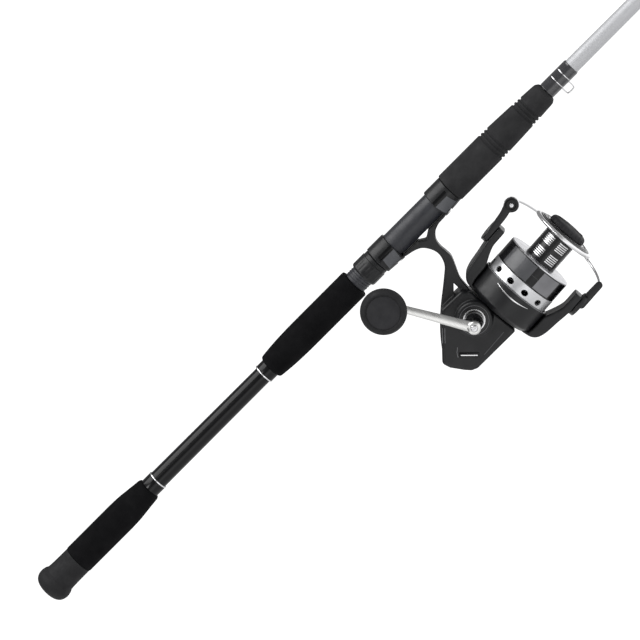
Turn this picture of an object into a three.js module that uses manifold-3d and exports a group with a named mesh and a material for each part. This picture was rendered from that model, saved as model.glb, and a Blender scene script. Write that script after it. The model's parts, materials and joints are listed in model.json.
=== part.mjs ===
// A spinning rod with its front-drag reel, in millimetres.
// +X runs from the butt to the tip, +Z is up, the reel hangs at -Z and the handle is on -Y.
// The origin is the centre of the flat on the end of the butt cap.
import * as THREE from "three";
import { mergeVertices } from "three/addons/utils/BufferGeometryUtils.js";
import Module from "manifold-3d";

const wasm = await Module();
wasm.setup();

// ---- Driving dimensions: general ----
const GAP = 0.3; // between pieces that touch
const ROD_SIDES = 16;
const REEL_SIDES = 24;
const GUIDE_SIDES = 14;
const SMALL_SIDES = 10;

// ---- Driving dimensions: rod ----
const ROD_LENGTH = 2134;
const BLANK_BUTT_RADIUS = 9.5;
const BLANK_FORE_RADIUS = 7.5;
const BLANK_TIP_RADIUS = 1.5;
const BLANK_WALL = 1.1;
const BUTT_CAP_LENGTH = 43;
const BUTT_CAP_END_WALL = 12;
const BUTT_BULB_RADIUS = 17.3;
const BUTT_NECK_RADIUS = 14.5;
const BUTT_FLAT_RADIUS = 4;
const BUTT_GRIP_LENGTH = 95;
const BUTT_GRIP_RADIUS = 15;
const COLLAR_LENGTH = 10.5;
const REAR_COLLAR_LENGTH = 8;
const COLLAR_RADIUS = 9.9;
const TRIM_RADIUS = 10.3;
const TRIM_WIDTH = 1.2;
const BARE_HANDLE_LENGTH = 139.7; // bare blank between the two grips' collars
const REAR_GRIP_LENGTH = 110.5;
const REAR_GRIP_RADIUS = 14.8;
const GRIP_TAPER = 38;
const GRIP_NOSE_RADIUS = 12;
const SEAT_LENGTH = 124;
const SEAT_RADIUS = 12.2;
const THREAD_STEP = 0.5; // the thread lies this much below the seat's barrel
const THREAD_RELIEF = 0.5;
const THREAD_UNDER_HOOD = 10.2;
const NUT_LENGTH = 19;
const NUT_WALL = 1.7;
const HOOD_LENGTH = 20;
const HOOD_WALL = 1.8;
const HOOD_LIP_DROP = 2.2; // how far the hood's mouth swells below the ring
const HOOD_REACH = 7.9; // how far the reel's foot goes into each hood
const FORE_GRIP_LENGTH = 125.5;
const FORE_GRIP_RADIUS = 15.2;
const FORE_GRIP_NOSE_RADIUS = 12;
const GROOVE_STARTS = [53, 94.5]; // along the fore grip
const GROOVE_COUNT = 3;
const GROOVE_PITCH = 4;
const GROOVE_DEPTH = 1.4;
const WINDING_LENGTH = 32;
const WINDING_COAT = 0.8;
const KEEPER_WIRE_RADIUS = 0.8;
const KEEPER_WIDTH = 8.5;
const KEEPER_DROP = 6.5;

// ---- Driving dimensions: line guides, from the one nearest the reel ----
const GUIDES = [
  { fromTip: 960, ringRadius: 20, drop: 40 },
  { fromTip: 690, ringRadius: 15, drop: 30 },
  { fromTip: 460, ringRadius: 11, drop: 22 },
  { fromTip: 270, ringRadius: 8, drop: 16 },
  { fromTip: 120, ringRadius: 6.5, drop: 12 },
];
const GUIDE_FRAME_WALL = 1.3;
const GUIDE_RING_WALL = 1.6;
const GUIDE_RING_WIDTH = 2.6;
const GUIDE_LEG_RADIUS = 1.1;
const GUIDE_FOOT_LENGTH = 14;
const GUIDE_FOOT_WIDTH = 3;
const GUIDE_FOOT_HEIGHT = 0.9;
const WRAP_COVER = 0.7;
const WRAP_MARGIN = 4;
const TIP_RING_RADIUS = 7;
const TIP_TUBE_LENGTH = 16;
const TIP_TUBE_WALL = 0.7;

// ---- Driving dimensions: where the reel sits ----
const ROTOR_BEHIND_FOOT = 2.2; // from the foot's middle back to the rotor's back face
const SPOOL_AXIS_DROP = 110.4;
const SPOOL_TILT = 3.7; // degrees, the spool axis closes on the rod ahead
const CRANK_BEHIND_FOOT = 20.9;
const CRANK_DROP = 98.7;

// ---- Driving dimensions: reel body ----
const FOOT_LENGTH = 70;
const FOOT_THICKNESS = 2.6;
const FOOT_HALF_WIDTH = 7;
const STEM_HALF_WIDTH = 6.5;
const BODY_HALF_WIDTH = 19;
const BODY_WALL = 2.4;
const BODY_FRONT_CLEARANCE = 1.2;
const COVER_THICKNESS = 2.6;
const BOSS_RADIUS = 17.3;
const BOSS_FACE = 28; // distance of the boss's face from the middle plane
const NECK_RADIUS = 15.4;
const NECK_REAR = -4; // the neck's ends, from the rotor's back face
const NECK_FRONT = 9.6;
const POST_RADIUS = 3.6;
const SCREW_RADIUS = 1.3;
const SCREW_HEAD_RADIUS = 2.6;

// ---- Driving dimensions: gears and shafts ----
const MAIN_SHAFT_RADIUS = 2.6;
const MAIN_SHAFT_REAR = -43;
const PINION_RADIUS = 5.2;
const PINION_TOOTH_RADIUS = 6;
const PINION_TEETH = 8;
const PINION_REAR = -26;
const PINION_BEARING_WIDTH = 4;
const DRIVE_GEAR_RADIUS = 13.3;
const DRIVE_GEAR_TEETH = 16;
const CRANK_RADIUS = 4.2;
const SMALL_GEAR_RADIUS = 7;
const OSCILLATION_RADIUS = 12;
const OSCILLATION_TEETH = 14;
const OSCILLATION_ANGLE = 220; // degrees, from the crank to the oscillation gear
const BEARING_RADIUS = 9;
const BEARING_WIDTH = 4.5;
const PINION_BEARING_RADIUS = 11;
const CLUTCH_RADIUS = 13;

// ---- Driving dimensions: rotor and bail, along the spool axis from the rotor's back face ----
const CUP_RADIUS = 35.2;
const CUP_WALL = 1.3;
const CUP_DEPTH = 27;
const CUP_FLOOR = 3.5;
const HUB_WALL = 2.4; // the raised hub round the body's neck
const ARM_HALF_WIDTH = 13;
const ARM_OUTER = 50.5; // from the spool axis to the arm tips' outer faces
const ARM_THICKNESS = 7.5;
const ARM_TIP = 60;
const BAIL_PIVOT = 52;
const BAIL_PIN_RADIUS = 3;
const BAIL_THICKNESS = 4.6;
const BAIL_SWEEP = 22; // within this of its pivot the bail clears the arm's outer face
const ROLLER_STATION = 83;
const ROLLER_RADIUS = 5.6;
const ROLLER_WIDTH = 7.5;
const ROLLER_SIDE = -9; // the roller's near face, from the spool axis
const ROLLER_BOSS_RADIUS = 6.9;
const ROLLER_BOSS_WIDTH = 4;
const WIRE_RADIUS = 1.25;
const WIRE_STATION_FAR = 78;
const WIRE_BOW = 52;
const WIRE_BULGE = 6; // how far the bow swells ahead of its ends

// ---- Driving dimensions: spool, on the same stations ----
const SKIRT_REAR = 23;
const SKIRT_TOP = 60;
const SKIRT_STEP = 39; // where the perforated band meets the printed band
const SKIRT_RADIUS = 33.1;
const SKIRT_BAND_RADIUS = 33.4;
const SKIRT_WALL = 1.7;
const SKIRT_HOLES = 12;
const SKIRT_HOLE_RADIUS = 2.9;
const SKIRT_HOLE_STATION = 32;
const SKIRT_HOLE_TURN = 8; // degrees
const ARBOR_RADIUS = 15.7;
const ARBOR_LENGTH = 30;
const LIP_RADIUS = 32.4;
const LIP_WIDTH = 4;
const FACE_RADIUS = 26;
const FACE_STEP = 1.5;
const DRAG_BORE_RADIUS = 12.8;
const DRAG_BORE_DEPTH = 15;
const DRAG_KNOB_RADIUS = 19.5;
const DRAG_KNOB_LENGTH = 7;

// ---- Driving dimensions: handle ----
const HANDLE_LENGTH = 84.5;
const HANDLE_ANGLE = 119.7; // degrees, from +X towards +Z
const ARM_FACE = 60; // the handle arm's inner face, from the middle plane
const ARM_DEPTH = 6;
const ARM_BOSS_RADIUS = 5.6;
const ARM_END_RADIUS = 3.4;
const SHANK_RADIUS = 8.4;
const SHANK_NECK_RADIUS = 6.2;
const KNOB_RADIUS = 21.5;
const KNOB_LENGTH = 39.5;
const KNOB_NECK_RADIUS = 9;
const KNOB_FACE_RADIUS = 16;
const SPINDLE_RADIUS = 2.5;

// ---- Places worked out from the dimensions ----
const buttGripStart = BUTT_CAP_LENGTH + GAP;
const buttCollarStart = buttGripStart + BUTT_GRIP_LENGTH + GAP;
const buttTrimEnd = buttCollarStart + COLLAR_LENGTH + TRIM_WIDTH;
const rearTrimStart = buttTrimEnd + BARE_HANDLE_LENGTH;
const rearGripStart = rearTrimStart + TRIM_WIDTH + REAR_COLLAR_LENGTH + GAP;
const seatStart = rearGripStart + REAR_GRIP_LENGTH + GAP;
const seatEnd = seatStart + SEAT_LENGTH;
const frontHoodStart = seatEnd - HOOD_LENGTH;
const rearHoodEnd = frontHoodStart - FOOT_LENGTH + 2 * HOOD_REACH;
const rearHoodStart = rearHoodEnd - HOOD_LENGTH;
const nutStart = rearHoodStart - GAP - NUT_LENGTH;
const threadRadius = SEAT_RADIUS - THREAD_STEP;
const reliefRadius = threadRadius - THREAD_RELIEF;
const nutRadius = threadRadius + GAP + NUT_WALL;
const hoodRadius = SEAT_RADIUS + GAP + HOOD_WALL;
const foreGripStart = seatEnd + GAP;
const windingStart = foreGripStart + FORE_GRIP_LENGTH + GAP;
const windingEnd = windingStart + WINDING_LENGTH;
const blankStart = BUTT_CAP_END_WALL + GAP;
const blankEnd = ROD_LENGTH - GUIDE_RING_WIDTH;
const seatBottom = -SEAT_RADIUS;
const footTop = seatBottom - GAP;
const footBottom = footTop - FOOT_THICKNESS;
const footMiddle = (rearHoodEnd + frontHoodStart) / 2;
const spoolX = footMiddle - ROTOR_BEHIND_FOOT;
const crankX = footMiddle - CRANK_BEHIND_FOOT;
const pivotFace = ARM_OUTER + GAP;
const pivotOuter = pivotFace + BAIL_THICKNESS;
const rollerCentre = pivotOuter;
const spoolNose = SKIRT_TOP + ARBOR_LENGTH + LIP_WIDTH;
const spoolFront = spoolNose + FACE_STEP;
const knobRear = spoolFront + GAP;
const shaftFront = knobRear + 2;
const armOuterFace = -(ARM_FACE + ARM_DEPTH);
const knobInner = armOuterFace - 2;
const knobOuter = knobInner - KNOB_LENGTH;

const rad = THREE.MathUtils.degToRad;
const knobX = crankX + HANDLE_LENGTH * Math.cos(rad(HANDLE_ANGLE));
const knobZ = -CRANK_DROP + HANDLE_LENGTH * Math.sin(rad(HANDLE_ANGLE));

// The spool axis's own frame: its X runs along the axis, its Z towards the rod.
const spoolFrame = new THREE.Matrix4()
  .makeTranslation(spoolX, 0, -SPOOL_AXIS_DROP)
  .multiply(new THREE.Matrix4().makeRotationY(rad(-SPOOL_TILT)));

// A point of the middle plane given along and across the spool axis, as [x, z].
function onSpoolAxis(along, across) {
  const point = new THREE.Vector3(along, 0, across).applyMatrix4(spoolFrame);
  return [point.x, point.z];
}

// The blank's outside radius at a station: a slow taper to the fore winding, then a curve to the tip.
function blankRadius(x) {
  if (x <= windingEnd) {
    return THREE.MathUtils.lerp(BLANK_BUTT_RADIUS, BLANK_FORE_RADIUS, x / windingEnd);
  }
  const share = Math.min(1, (x - windingEnd) / (blankEnd - windingEnd));
  return THREE.MathUtils.lerp(BLANK_FORE_RADIUS, BLANK_TIP_RADIUS, share ** 1.15);
}

// The bore of a sleeve that slides on the blank from a station.
const boreAt = (x) => blankRadius(x) + GAP;

// ---- Finishes ----
const finish = (color, roughness, metalness = 0) =>
  new THREE.MeshStandardMaterial({ color, roughness, metalness });
const FINISHES = {
  rubber: finish(0x3a3a3c, 0.75),
  foam: finish(0x1c1c1e, 0.95),
  silverPaint: finish(0xbfc1c4, 0.35, 0.6),
  blackGloss: finish(0x0a0a0b, 0.15),
  seat: finish(0x33353b, 0.45),
  graphite: finish(0x1e1f21, 0.5),
  thread: finish(0x242426, 0.25),
  steel: finish(0xc6c8ca, 0.25, 1),
  aluminium: finish(0xb9bbbd, 0.35, 1),
  ceramic: finish(0x2a2b2e, 0.15),
  brass: finish(0xb5963f, 0.35, 1),
  spool: finish(0x1a1a1c, 0.25, 0.6),
  felt: finish(0x4a4640, 0.95),
};

// ---- Shape helpers ----
// A three.js geometry as a solid. What a boolean made is already one welded surface.
function solid(geometry) {
  const bare = new THREE.BufferGeometry();
  bare.setAttribute("position", geometry.getAttribute("position"));
  bare.setIndex(geometry.index);
  const merged = geometry.userData.welded ? bare : mergeVertices(bare, 1e-4);
  const triVerts = new Uint32Array(merged.index.array);
  const vertProperties = merged.attributes.position.array;
  return new wasm.Manifold(new wasm.Mesh({ numProp: 3, vertProperties, triVerts }));
}

function geometryOf(manifold) {
  const mesh = manifold.getMesh();
  const geometry = new THREE.BufferGeometry();
  geometry.setAttribute("position", new THREE.BufferAttribute(mesh.vertProperties, 3));
  geometry.setIndex(new THREE.BufferAttribute(mesh.triVerts, 1));
  geometry.userData.welded = true;
  return geometry;
}

const join = (first, ...others) =>
  geometryOf(others.reduce((whole, other) => whole.add(solid(other)), solid(first)));
const cut = (first, ...others) =>
  geometryOf(others.reduce((whole, other) => whole.subtract(solid(other)), solid(first)));

// A solid turned about an axis from [station, radius] points, from its low end to its high end.
function turned(axis, points, sides = REEL_SIDES) {
  const profile = points.map(([station, radius]) => new THREE.Vector2(radius, station));
  const geometry = new THREE.LatheGeometry(profile, sides);
  if (axis === "x") geometry.rotateZ(-Math.PI / 2);
  if (axis === "z") geometry.rotateX(Math.PI / 2);
  return geometry;
}

// A sleeve: the outside points, closed through a straight bore.
function sleeve(axis, outside, bore, sides = REEL_SIDES) {
  const low = [outside[0][0], bore];
  const high = [outside.at(-1)[0], bore];
  return turned(axis, [low, ...outside, high, low], sides);
}

const tube = (axis, low, high, radius, bore, sides) =>
  sleeve(axis, [[low, radius], [high, radius]], bore, sides);
const bar = (axis, low, high, radius, sides) =>
  turned(axis, [[low, 0], [low, radius], [high, radius], [high, 0]], sides);

// Profile points on a quarter of an ellipse, which leaves the first point square to the axis.
function swell([x0, r0], [x1, r1], steps = 4) {
  return Array.from({ length: steps + 1 }, (_, i) => {
    const angle = (i / steps) * (Math.PI / 2);
    return [x0 + (x1 - x0) * (1 - Math.cos(angle)), r0 + (r1 - r0) * Math.sin(angle)];
  });
}

// Profile points on a soft S from one radius to another.
function blend([x0, r0], [x1, r1], steps = 4) {
  return Array.from({ length: steps + 1 }, (_, i) => {
    const share = i / steps;
    return [x0 + (x1 - x0) * share, r0 + ((r1 - r0) * (1 - Math.cos(Math.PI * share))) / 2];
  });
}

// A straight round rod between two points.
function rodBetween(from, to, radius, sides = 6) {
  const start = new THREE.Vector3(...from);
  const span = new THREE.Vector3(...to).sub(start);
  const geometry = new THREE.CylinderGeometry(radius, radius, span.length(), sides);
  geometry.translate(0, span.length() / 2, 0);
  const up = new THREE.Vector3(0, 1, 0);
  geometry.applyQuaternion(new THREE.Quaternion().setFromUnitVectors(up, span.normalize()));
  return geometry.translate(...from);
}

function block([x0, x1], [y0, y1], [z0, z1]) {
  const geometry = new THREE.BoxGeometry(x1 - x0, y1 - y0, z1 - z0);
  return geometry.translate((x0 + x1) / 2, (y0 + y1) / 2, (z0 + z1) / 2);
}

const outline = (points) => new THREE.Shape(points.map(([a, b]) => new THREE.Vector2(a, b)));

// A plate whose outline is drawn in X and Z, between two places in Y.
function plateXZ(shape, [low, high], curveSegments = 6) {
  const options = { depth: high - low, bevelEnabled: false, curveSegments };
  return new THREE.ExtrudeGeometry(shape, options).rotateX(Math.PI / 2).translate(0, high, 0);
}

// A plate whose outline is drawn in X and Y, between two places in Z.
function plateXY(shape, [low, high], curveSegments = 6) {
  const options = { depth: high - low, bevelEnabled: false, curveSegments };
  return new THREE.ExtrudeGeometry(shape, options).translate(0, 0, low);
}

// The outline of a tapered bar with round ends.
function taperedBar([x0, y0], r0, [x1, y1], r1) {
  const along = Math.atan2(y1 - y0, x1 - x0);
  const side = Math.acos((r0 - r1) / Math.hypot(x1 - x0, y1 - y0));
  const shape = new THREE.Shape();
  shape.absarc(x0, y0, r0, along + side, along - side + 2 * Math.PI, false);
  shape.absarc(x1, y1, r1, along - side, along + side, false);
  return shape;
}

// The outline of a plain spur gear.
function gearOutline([x, y], radius, teeth, depth) {
  const points = [];
  const steps = teeth * 4;
  for (let i = 0; i < steps; i += 1) {
    const angle = (i / steps) * 2 * Math.PI;
    const r = i % 4 < 2 ? radius : radius - depth;
    points.push([x + r * Math.cos(angle), y + r * Math.sin(angle)]);
  }
  return outline(points);
}

const rodAndReel = new THREE.Group();
const alongSpool = new THREE.Group();
alongSpool.applyMatrix4(spoolFrame);
rodAndReel.add(alongSpool);

function add(name, geometry, material, group = rodAndReel) {
  const mesh = new THREE.Mesh(geometry, material);
  mesh.name = name;
  group.add(mesh);
}

// ---- Rod ----
function buttCap() {
  return turned("x", [
    [0, 0],
    ...swell([0, BUTT_FLAT_RADIUS], [BUTT_BULB_RADIUS * 0.75, BUTT_BULB_RADIUS], 5),
    ...blend([BUTT_BULB_RADIUS, BUTT_BULB_RADIUS], [BUTT_BULB_RADIUS * 1.5, BUTT_NECK_RADIUS], 3),
    [BUTT_CAP_LENGTH, BUTT_NECK_RADIUS],
    [BUTT_CAP_LENGTH, boreAt(BUTT_CAP_END_WALL)],
    [BUTT_CAP_END_WALL, boreAt(BUTT_CAP_END_WALL)],
    [BUTT_CAP_END_WALL, 0],
  ], ROD_SIDES);
}

function buttGrip() {
  const end = buttGripStart + BUTT_GRIP_LENGTH;
  return sleeve("x", [
    [buttGripStart, BUTT_GRIP_RADIUS - 1],
    [buttGripStart + 1, BUTT_GRIP_RADIUS],
    ...blend([end - GRIP_TAPER, BUTT_GRIP_RADIUS], [end - 1, GRIP_NOSE_RADIUS]),
    [end, GRIP_NOSE_RADIUS - 1],
  ], boreAt(buttGripStart), ROD_SIDES);
}

// A collar with a raised trim ring at one end.
function collar(start, length, trimFirst) {
  const bore = boreAt(start);
  const step = start + (trimFirst ? TRIM_WIDTH : length);
  const end = start + length + TRIM_WIDTH;
  const low = trimFirst ? TRIM_RADIUS : COLLAR_RADIUS;
  const high = trimFirst ? COLLAR_RADIUS : TRIM_RADIUS;
  const outside = [[start, low], [step, low], [step, high], [end, high]];
  return sleeve("x", outside, bore, ROD_SIDES);
}

function blank() {
  const steps = 5;
  const outside = [[blankStart, blankRadius(blankStart)]];
  for (let i = 0; i <= steps; i += 1) {
    const x = windingEnd + ((blankEnd - windingEnd) * i) / steps;
    outside.push([x, blankRadius(x)]);
  }
  const inside = outside.map(([x, r]) => [x, Math.max(r - BLANK_WALL, r / 2)]).reverse();
  return turned("x", [...outside, ...inside, outside[0]], GUIDE_SIDES);
}

function rearGrip() {
  const end = rearGripStart + REAR_GRIP_LENGTH;
  return sleeve("x", [
    [rearGripStart, COLLAR_RADIUS],
    ...swell([rearGripStart, COLLAR_RADIUS], [rearGripStart + 10, GRIP_NOSE_RADIUS + 1], 2).slice(1),
    ...blend([rearGripStart + 12, GRIP_NOSE_RADIUS + 1.1], [rearGripStart + GRIP_TAPER, REAR_GRIP_RADIUS], 3),
    [end - 1, REAR_GRIP_RADIUS],
    [end, REAR_GRIP_RADIUS - 1],
  ], boreAt(rearGripStart), ROD_SIDES);
}

function foreGrip() {
  const end = foreGripStart + FORE_GRIP_LENGTH;
  const noseStart = foreGripStart + GROOVE_STARTS[0];
  const radiusAt = (x) => {
    const share = THREE.MathUtils.clamp((x - noseStart) / (end - 5 - noseStart), 0, 1);
    return FORE_GRIP_RADIUS - (FORE_GRIP_RADIUS - FORE_GRIP_NOSE_RADIUS) * share ** 1.4;
  };
  const outside = [
    [foreGripStart, FORE_GRIP_RADIUS - 1.2],
    [foreGripStart + 1.5, FORE_GRIP_RADIUS - 0.2],
  ];
  for (const start of GROOVE_STARTS) {
    for (let i = 0; i < GROOVE_COUNT; i += 1) {
      const x = foreGripStart + start + i * GROOVE_PITCH;
      const land = GROOVE_PITCH / 2;
      outside.push([x, radiusAt(x)], [x, radiusAt(x) - GROOVE_DEPTH]);
      outside.push([x + land, radiusAt(x) - GROOVE_DEPTH], [x + land, radiusAt(x + land)]);
    }
  }
  outside.push([end - 5, FORE_GRIP_NOSE_RADIUS], [end, blankRadius(end) + 1]);
  return sleeve("x", outside, boreAt(foreGripStart), ROD_SIDES);
}

function foreWinding() {
  const bore = boreAt(windingStart);
  const top = bore + WINDING_COAT;
  const outside = [
    [windingStart, top],
    [windingEnd - 1, boreAt(windingEnd) + WINDING_COAT],
    [windingEnd, bore + 0.2],
  ];
  return sleeve("x", outside, bore, ROD_SIDES);
}

// A small wire loop, its feet cut back from the winding.
function hookKeeper() {
  const middle = (windingStart + windingEnd) / 2;
  const top = -(boreAt(windingStart) + WINDING_COAT + GAP);
  const low = top - KEEPER_DROP;
  const half = KEEPER_WIDTH / 2;
  const legs = [-half, half].map((side) =>
    rodBetween([middle + side, 0, top], [middle + side, 0, low], KEEPER_WIRE_RADIUS),
  );
  const bridge = [[middle - half - KEEPER_WIRE_RADIUS, 0, low], [middle + half + KEEPER_WIRE_RADIUS, 0, low]];
  return join(legs[0], legs[1], rodBetween(...bridge, KEEPER_WIRE_RADIUS));
}

// ---- Reel seat ----
function reelSeat() {
  const threadEnd = rearHoodStart + THREAD_UNDER_HOOD;
  return sleeve("x", [
    [seatStart, threadRadius],
    [seatStart + 3, threadRadius],
    [seatStart + 3, reliefRadius],
    [seatStart + 5, reliefRadius],
    [seatStart + 5, threadRadius],
    [seatStart + 8, threadRadius],
    [seatStart + 8, reliefRadius],
    [seatStart + 10, reliefRadius],
    [seatStart + 10, threadRadius],
    [threadEnd, threadRadius],
    [threadEnd, SEAT_RADIUS],
    [seatEnd, SEAT_RADIUS],
  ], boreAt(seatStart), ROD_SIDES);
}

function lockNut() {
  return sleeve("x", [
    [nutStart, nutRadius - 0.8],
    [nutStart + 1, nutRadius],
    [nutStart + NUT_LENGTH - 4, nutRadius],
    [nutStart + NUT_LENGTH - 4, nutRadius - 0.7],
    [nutStart + NUT_LENGTH, nutRadius - 0.7],
  ], threadRadius + GAP, ROD_SIDES);
}

// A hood: a ring on the seat whose mouth swells downwards round the reel's foot.
function hood(back, mouth) {
  const low = Math.min(back, mouth);
  const high = Math.max(back, mouth);
  const ring = bar("x", low, high, hoodRadius, ROD_SIDES);
  const radiusAt = (x) => (x === mouth ? hoodRadius : hoodRadius - 1.5);
  const ends = [[low, radiusAt(low)], [high, radiusAt(high)]];
  const swelling = turned("x", [[low, 0], ...ends, [high, 0]], ROD_SIDES);
  swelling.translate(0, 0, -HOOD_LIP_DROP);
  const bore = bar("x", low - 1, high + 1, SEAT_RADIUS + GAP, ROD_SIDES);
  const reach = HOOD_REACH + 2 * GAP;
  const pocketX = mouth > back ? [mouth - reach, mouth + 1] : [mouth - 1, mouth + reach];
  const halfWidth = FOOT_HALF_WIDTH + GAP;
  const pocket = block(pocketX, [-halfWidth, halfWidth], [footBottom - GAP, 0]);
  return cut(join(ring, swelling), bore, pocket);
}


// ---- Line guides ----
// A round frame on two feet along the blank: two legs behind, two in front.
function guideFrame({ x, ringRadius, drop }) {
  const bore = ringRadius - GUIDE_FRAME_WALL;
  const spread = ringRadius * 0.9 + 3;
  const half = GUIDE_RING_WIDTH / 2;
  const radius = blankRadius(x);
  const centre = -(radius + drop);
  const ring = tube("x", -half, half, ringRadius, bore, GUIDE_SIDES).translate(x, 0, centre);
  const pieces = [ring];
  for (const way of [-1, 1]) {
    const near = x + way * spread;
    const far = near + way * GUIDE_FOOT_LENGTH;
    const top = -(blankRadius(Math.min(near, far)) + GAP);
    const footX = [Math.min(near, far), Math.max(near, far)];
    const footZ = [top - GUIDE_FOOT_HEIGHT, top];
    pieces.push(block(footX, [-GUIDE_FOOT_WIDTH / 2, GUIDE_FOOT_WIDTH / 2], footZ));
    const angle = rad(way < 0 ? 32 : 55);
    for (const side of [-1, 1]) {
      const rim = ringRadius - GUIDE_FRAME_WALL / 2;
      const onRing = [x, side * rim * Math.cos(angle), centre + rim * Math.sin(angle)];
      pieces.push(rodBetween([near, side * 0.4, top - GUIDE_FOOT_HEIGHT / 2], onRing, GUIDE_LEG_RADIUS, 5));
    }
  }
  const clearBore = bar("x", x - 30, x + 30, bore, GUIDE_SIDES).translate(0, 0, centre);
  const clearBlank = bar("x", x - spread - 40, x + spread + 40, 1, 8);
  clearBlank.scale(1, radius + GAP, radius + GAP);
  return cut(join(...pieces), clearBore, clearBlank);
}

function guideRing({ x, ringRadius, drop }) {
  const radius = ringRadius - GUIDE_FRAME_WALL - GAP;
  const bore = radius - GUIDE_RING_WALL;
  const half = GUIDE_RING_WIDTH / 2;
  return tube("x", -half, half, radius, bore, GUIDE_SIDES).translate(x, 0, -(blankRadius(x) + drop));
}

// The thread that ties both feet down, with a thin stretch between them.
function guideWrap({ x, ringRadius }) {
  const spread = ringRadius * 0.9 + 3;
  const low = x - spread - GUIDE_FOOT_LENGTH - WRAP_MARGIN;
  const high = x + spread + GUIDE_FOOT_LENGTH + WRAP_MARGIN;
  const inner = x - spread - 1;
  const outer = x + spread + 1;
  const bore = boreAt(low);
  const thin = bore + 0.5;
  const thick = bore + GUIDE_FOOT_HEIGHT + GAP + WRAP_COVER;
  const body = sleeve("x", [
    [low, thin],
    [low + 2, thick],
    [inner - 3, thick],
    [inner - 3, thin],
    [outer + 3, thin],
    [outer + 3, thick],
    [high - 2, thick],
    [high, thin],
  ], bore, SMALL_SIDES);
  const slotHalf = GUIDE_FOOT_WIDTH / 2 + GAP;
  const slotTop = -(blankRadius(high) - 0.5);
  const slotLow = -(bore + GUIDE_FOOT_HEIGHT + GAP);
  const slots = [[low + WRAP_MARGIN - GAP, inner + 6], [outer - 6, high - WRAP_MARGIN + GAP]].map((range) =>
    block(range, [-slotHalf, slotHalf], [slotLow, slotTop]),
  );
  return cut(body, ...slots);
}

const tipStation = ROD_LENGTH - GUIDE_RING_WIDTH / 2;
const tipDrop = TIP_RING_RADIUS + BLANK_TIP_RADIUS + 1.5;

function tipTop() {
  const half = GUIDE_RING_WIDTH / 2;
  const bore = TIP_RING_RADIUS - GUIDE_FRAME_WALL;
  const start = ROD_LENGTH - TIP_TUBE_LENGTH;
  const inside = boreAt(start);
  const end = blankEnd + GAP;
  const cap = turned("x", [
    [start, inside],
    [start, inside + TIP_TUBE_WALL],
    [ROD_LENGTH, inside + TIP_TUBE_WALL],
    [ROD_LENGTH, 0],
    [end, 0],
    [end, inside],
    [start, inside],
  ], SMALL_SIDES);
  const ring = tube("x", -half, half, TIP_RING_RADIUS, bore, GUIDE_SIDES).translate(tipStation, 0, -tipDrop);
  const legs = [-1, 1].map((side) => {
    const from = [start + 3, side * inside, -inside];
    return rodBetween(from, [tipStation, side * (bore + 0.7), -tipDrop], GUIDE_LEG_RADIUS * 0.7, 5);
  });
  const clearBore = bar("x", start - 5, ROD_LENGTH + 5, bore, GUIDE_SIDES).translate(0, 0, -tipDrop);
  const clearBlank = bar("x", start - 5, end, inside, SMALL_SIDES);
  return cut(join(cap, ring, ...legs), clearBore, clearBlank);
}

function tipRing() {
  const half = GUIDE_RING_WIDTH / 2;
  const radius = TIP_RING_RADIUS - GUIDE_FRAME_WALL - GAP;
  const ring = tube("x", -half, half, radius, radius - GUIDE_RING_WALL, GUIDE_SIDES);
  return ring.translate(tipStation, 0, -tipDrop);
}

// ---- Reel body ----
// The gear housing's outline in X and Z, from its lowest rear corner round to its heel.
function housingOutline(inset) {
  const [frontLowX, frontLowZ] = onSpoolAxis(-BODY_FRONT_CLEARANCE, -24);
  const [frontHighX, frontHighZ] = onSpoolAxis(-BODY_FRONT_CLEARANCE, 33);
  const corners = [
    [crankX - 51.3, -CRANK_DROP - 9.3],
    [crankX - 48.8, -CRANK_DROP - 17],
    [crankX - 41, -CRANK_DROP - 28],
    [crankX - 31, frontLowZ + 0.2],
    [frontLowX, frontLowZ],
    [frontHighX, frontHighZ],
    [crankX + 9.5, -CRANK_DROP + 26.7],
    [crankX - 15.8, -CRANK_DROP + 27.2],
  ];
  const middle = [crankX - 11, -CRANK_DROP - 6];
  return corners.map(([x, z]) => {
    const reach = Math.hypot(x - middle[0], z - middle[1]);
    const share = 1 - inset / reach;
    return [middle[0] + (x - middle[0]) * share, middle[1] + (z - middle[1]) * share];
  });
}

// Foot and stem in one outline: two toes under the hoods, a neck, and two legs to the housing.
function stemOutline() {
  const toe = HOOD_REACH + (frontHoodStart - rearHoodEnd) / 2;
  return outline([
    [footMiddle - toe, footTop],
    [footMiddle - 8.5, footTop],
    [footMiddle - 1, footBottom - 2.2],
    [footMiddle + 6.5, footTop],
    [footMiddle + toe, footTop],
    [footMiddle + toe, footBottom],
    [footMiddle + 19, footBottom],
    [footMiddle + 10.5, footBottom - 3],
    [footMiddle + 5, footBottom - 9],
    [footMiddle + 3.5, footBottom - 16],
    [footMiddle + 3.8, footBottom - 30],
    [footMiddle, footBottom - 39],
    [footMiddle - 5, footBottom - 50],
    [footMiddle - 6.4, footBottom - 64],
    [footMiddle - 20, footBottom - 64],
    [crankX - 50, -CRANK_DROP - 10],
    [crankX - 38.6, -CRANK_DROP + 5],
    [crankX - 27.6, -CRANK_DROP + 17],
    [crankX - 15.4, -CRANK_DROP + 28],
    [footMiddle - 24, footBottom - 46],
    [footMiddle - 14, footBottom - 38],
    [footMiddle - 6.5, footBottom - 31],
    [footMiddle - 3, footBottom - 22],
    [footMiddle - 4, footBottom - 14],
    [footMiddle - 9, footBottom - 6],
    [footMiddle - 16, footBottom - 2.2],
    [footMiddle - 27, footBottom],
    [footMiddle - toe, footBottom],
  ]);
}

// The small three-cornered window between the two legs.
function stemWindow() {
  return outline([
    [footMiddle - 12.6, footBottom - 49],
    [footMiddle - 20.2, footBottom - 56.8],
    [footMiddle - 12.6, footBottom - 56.8],
  ]);
}

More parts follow.
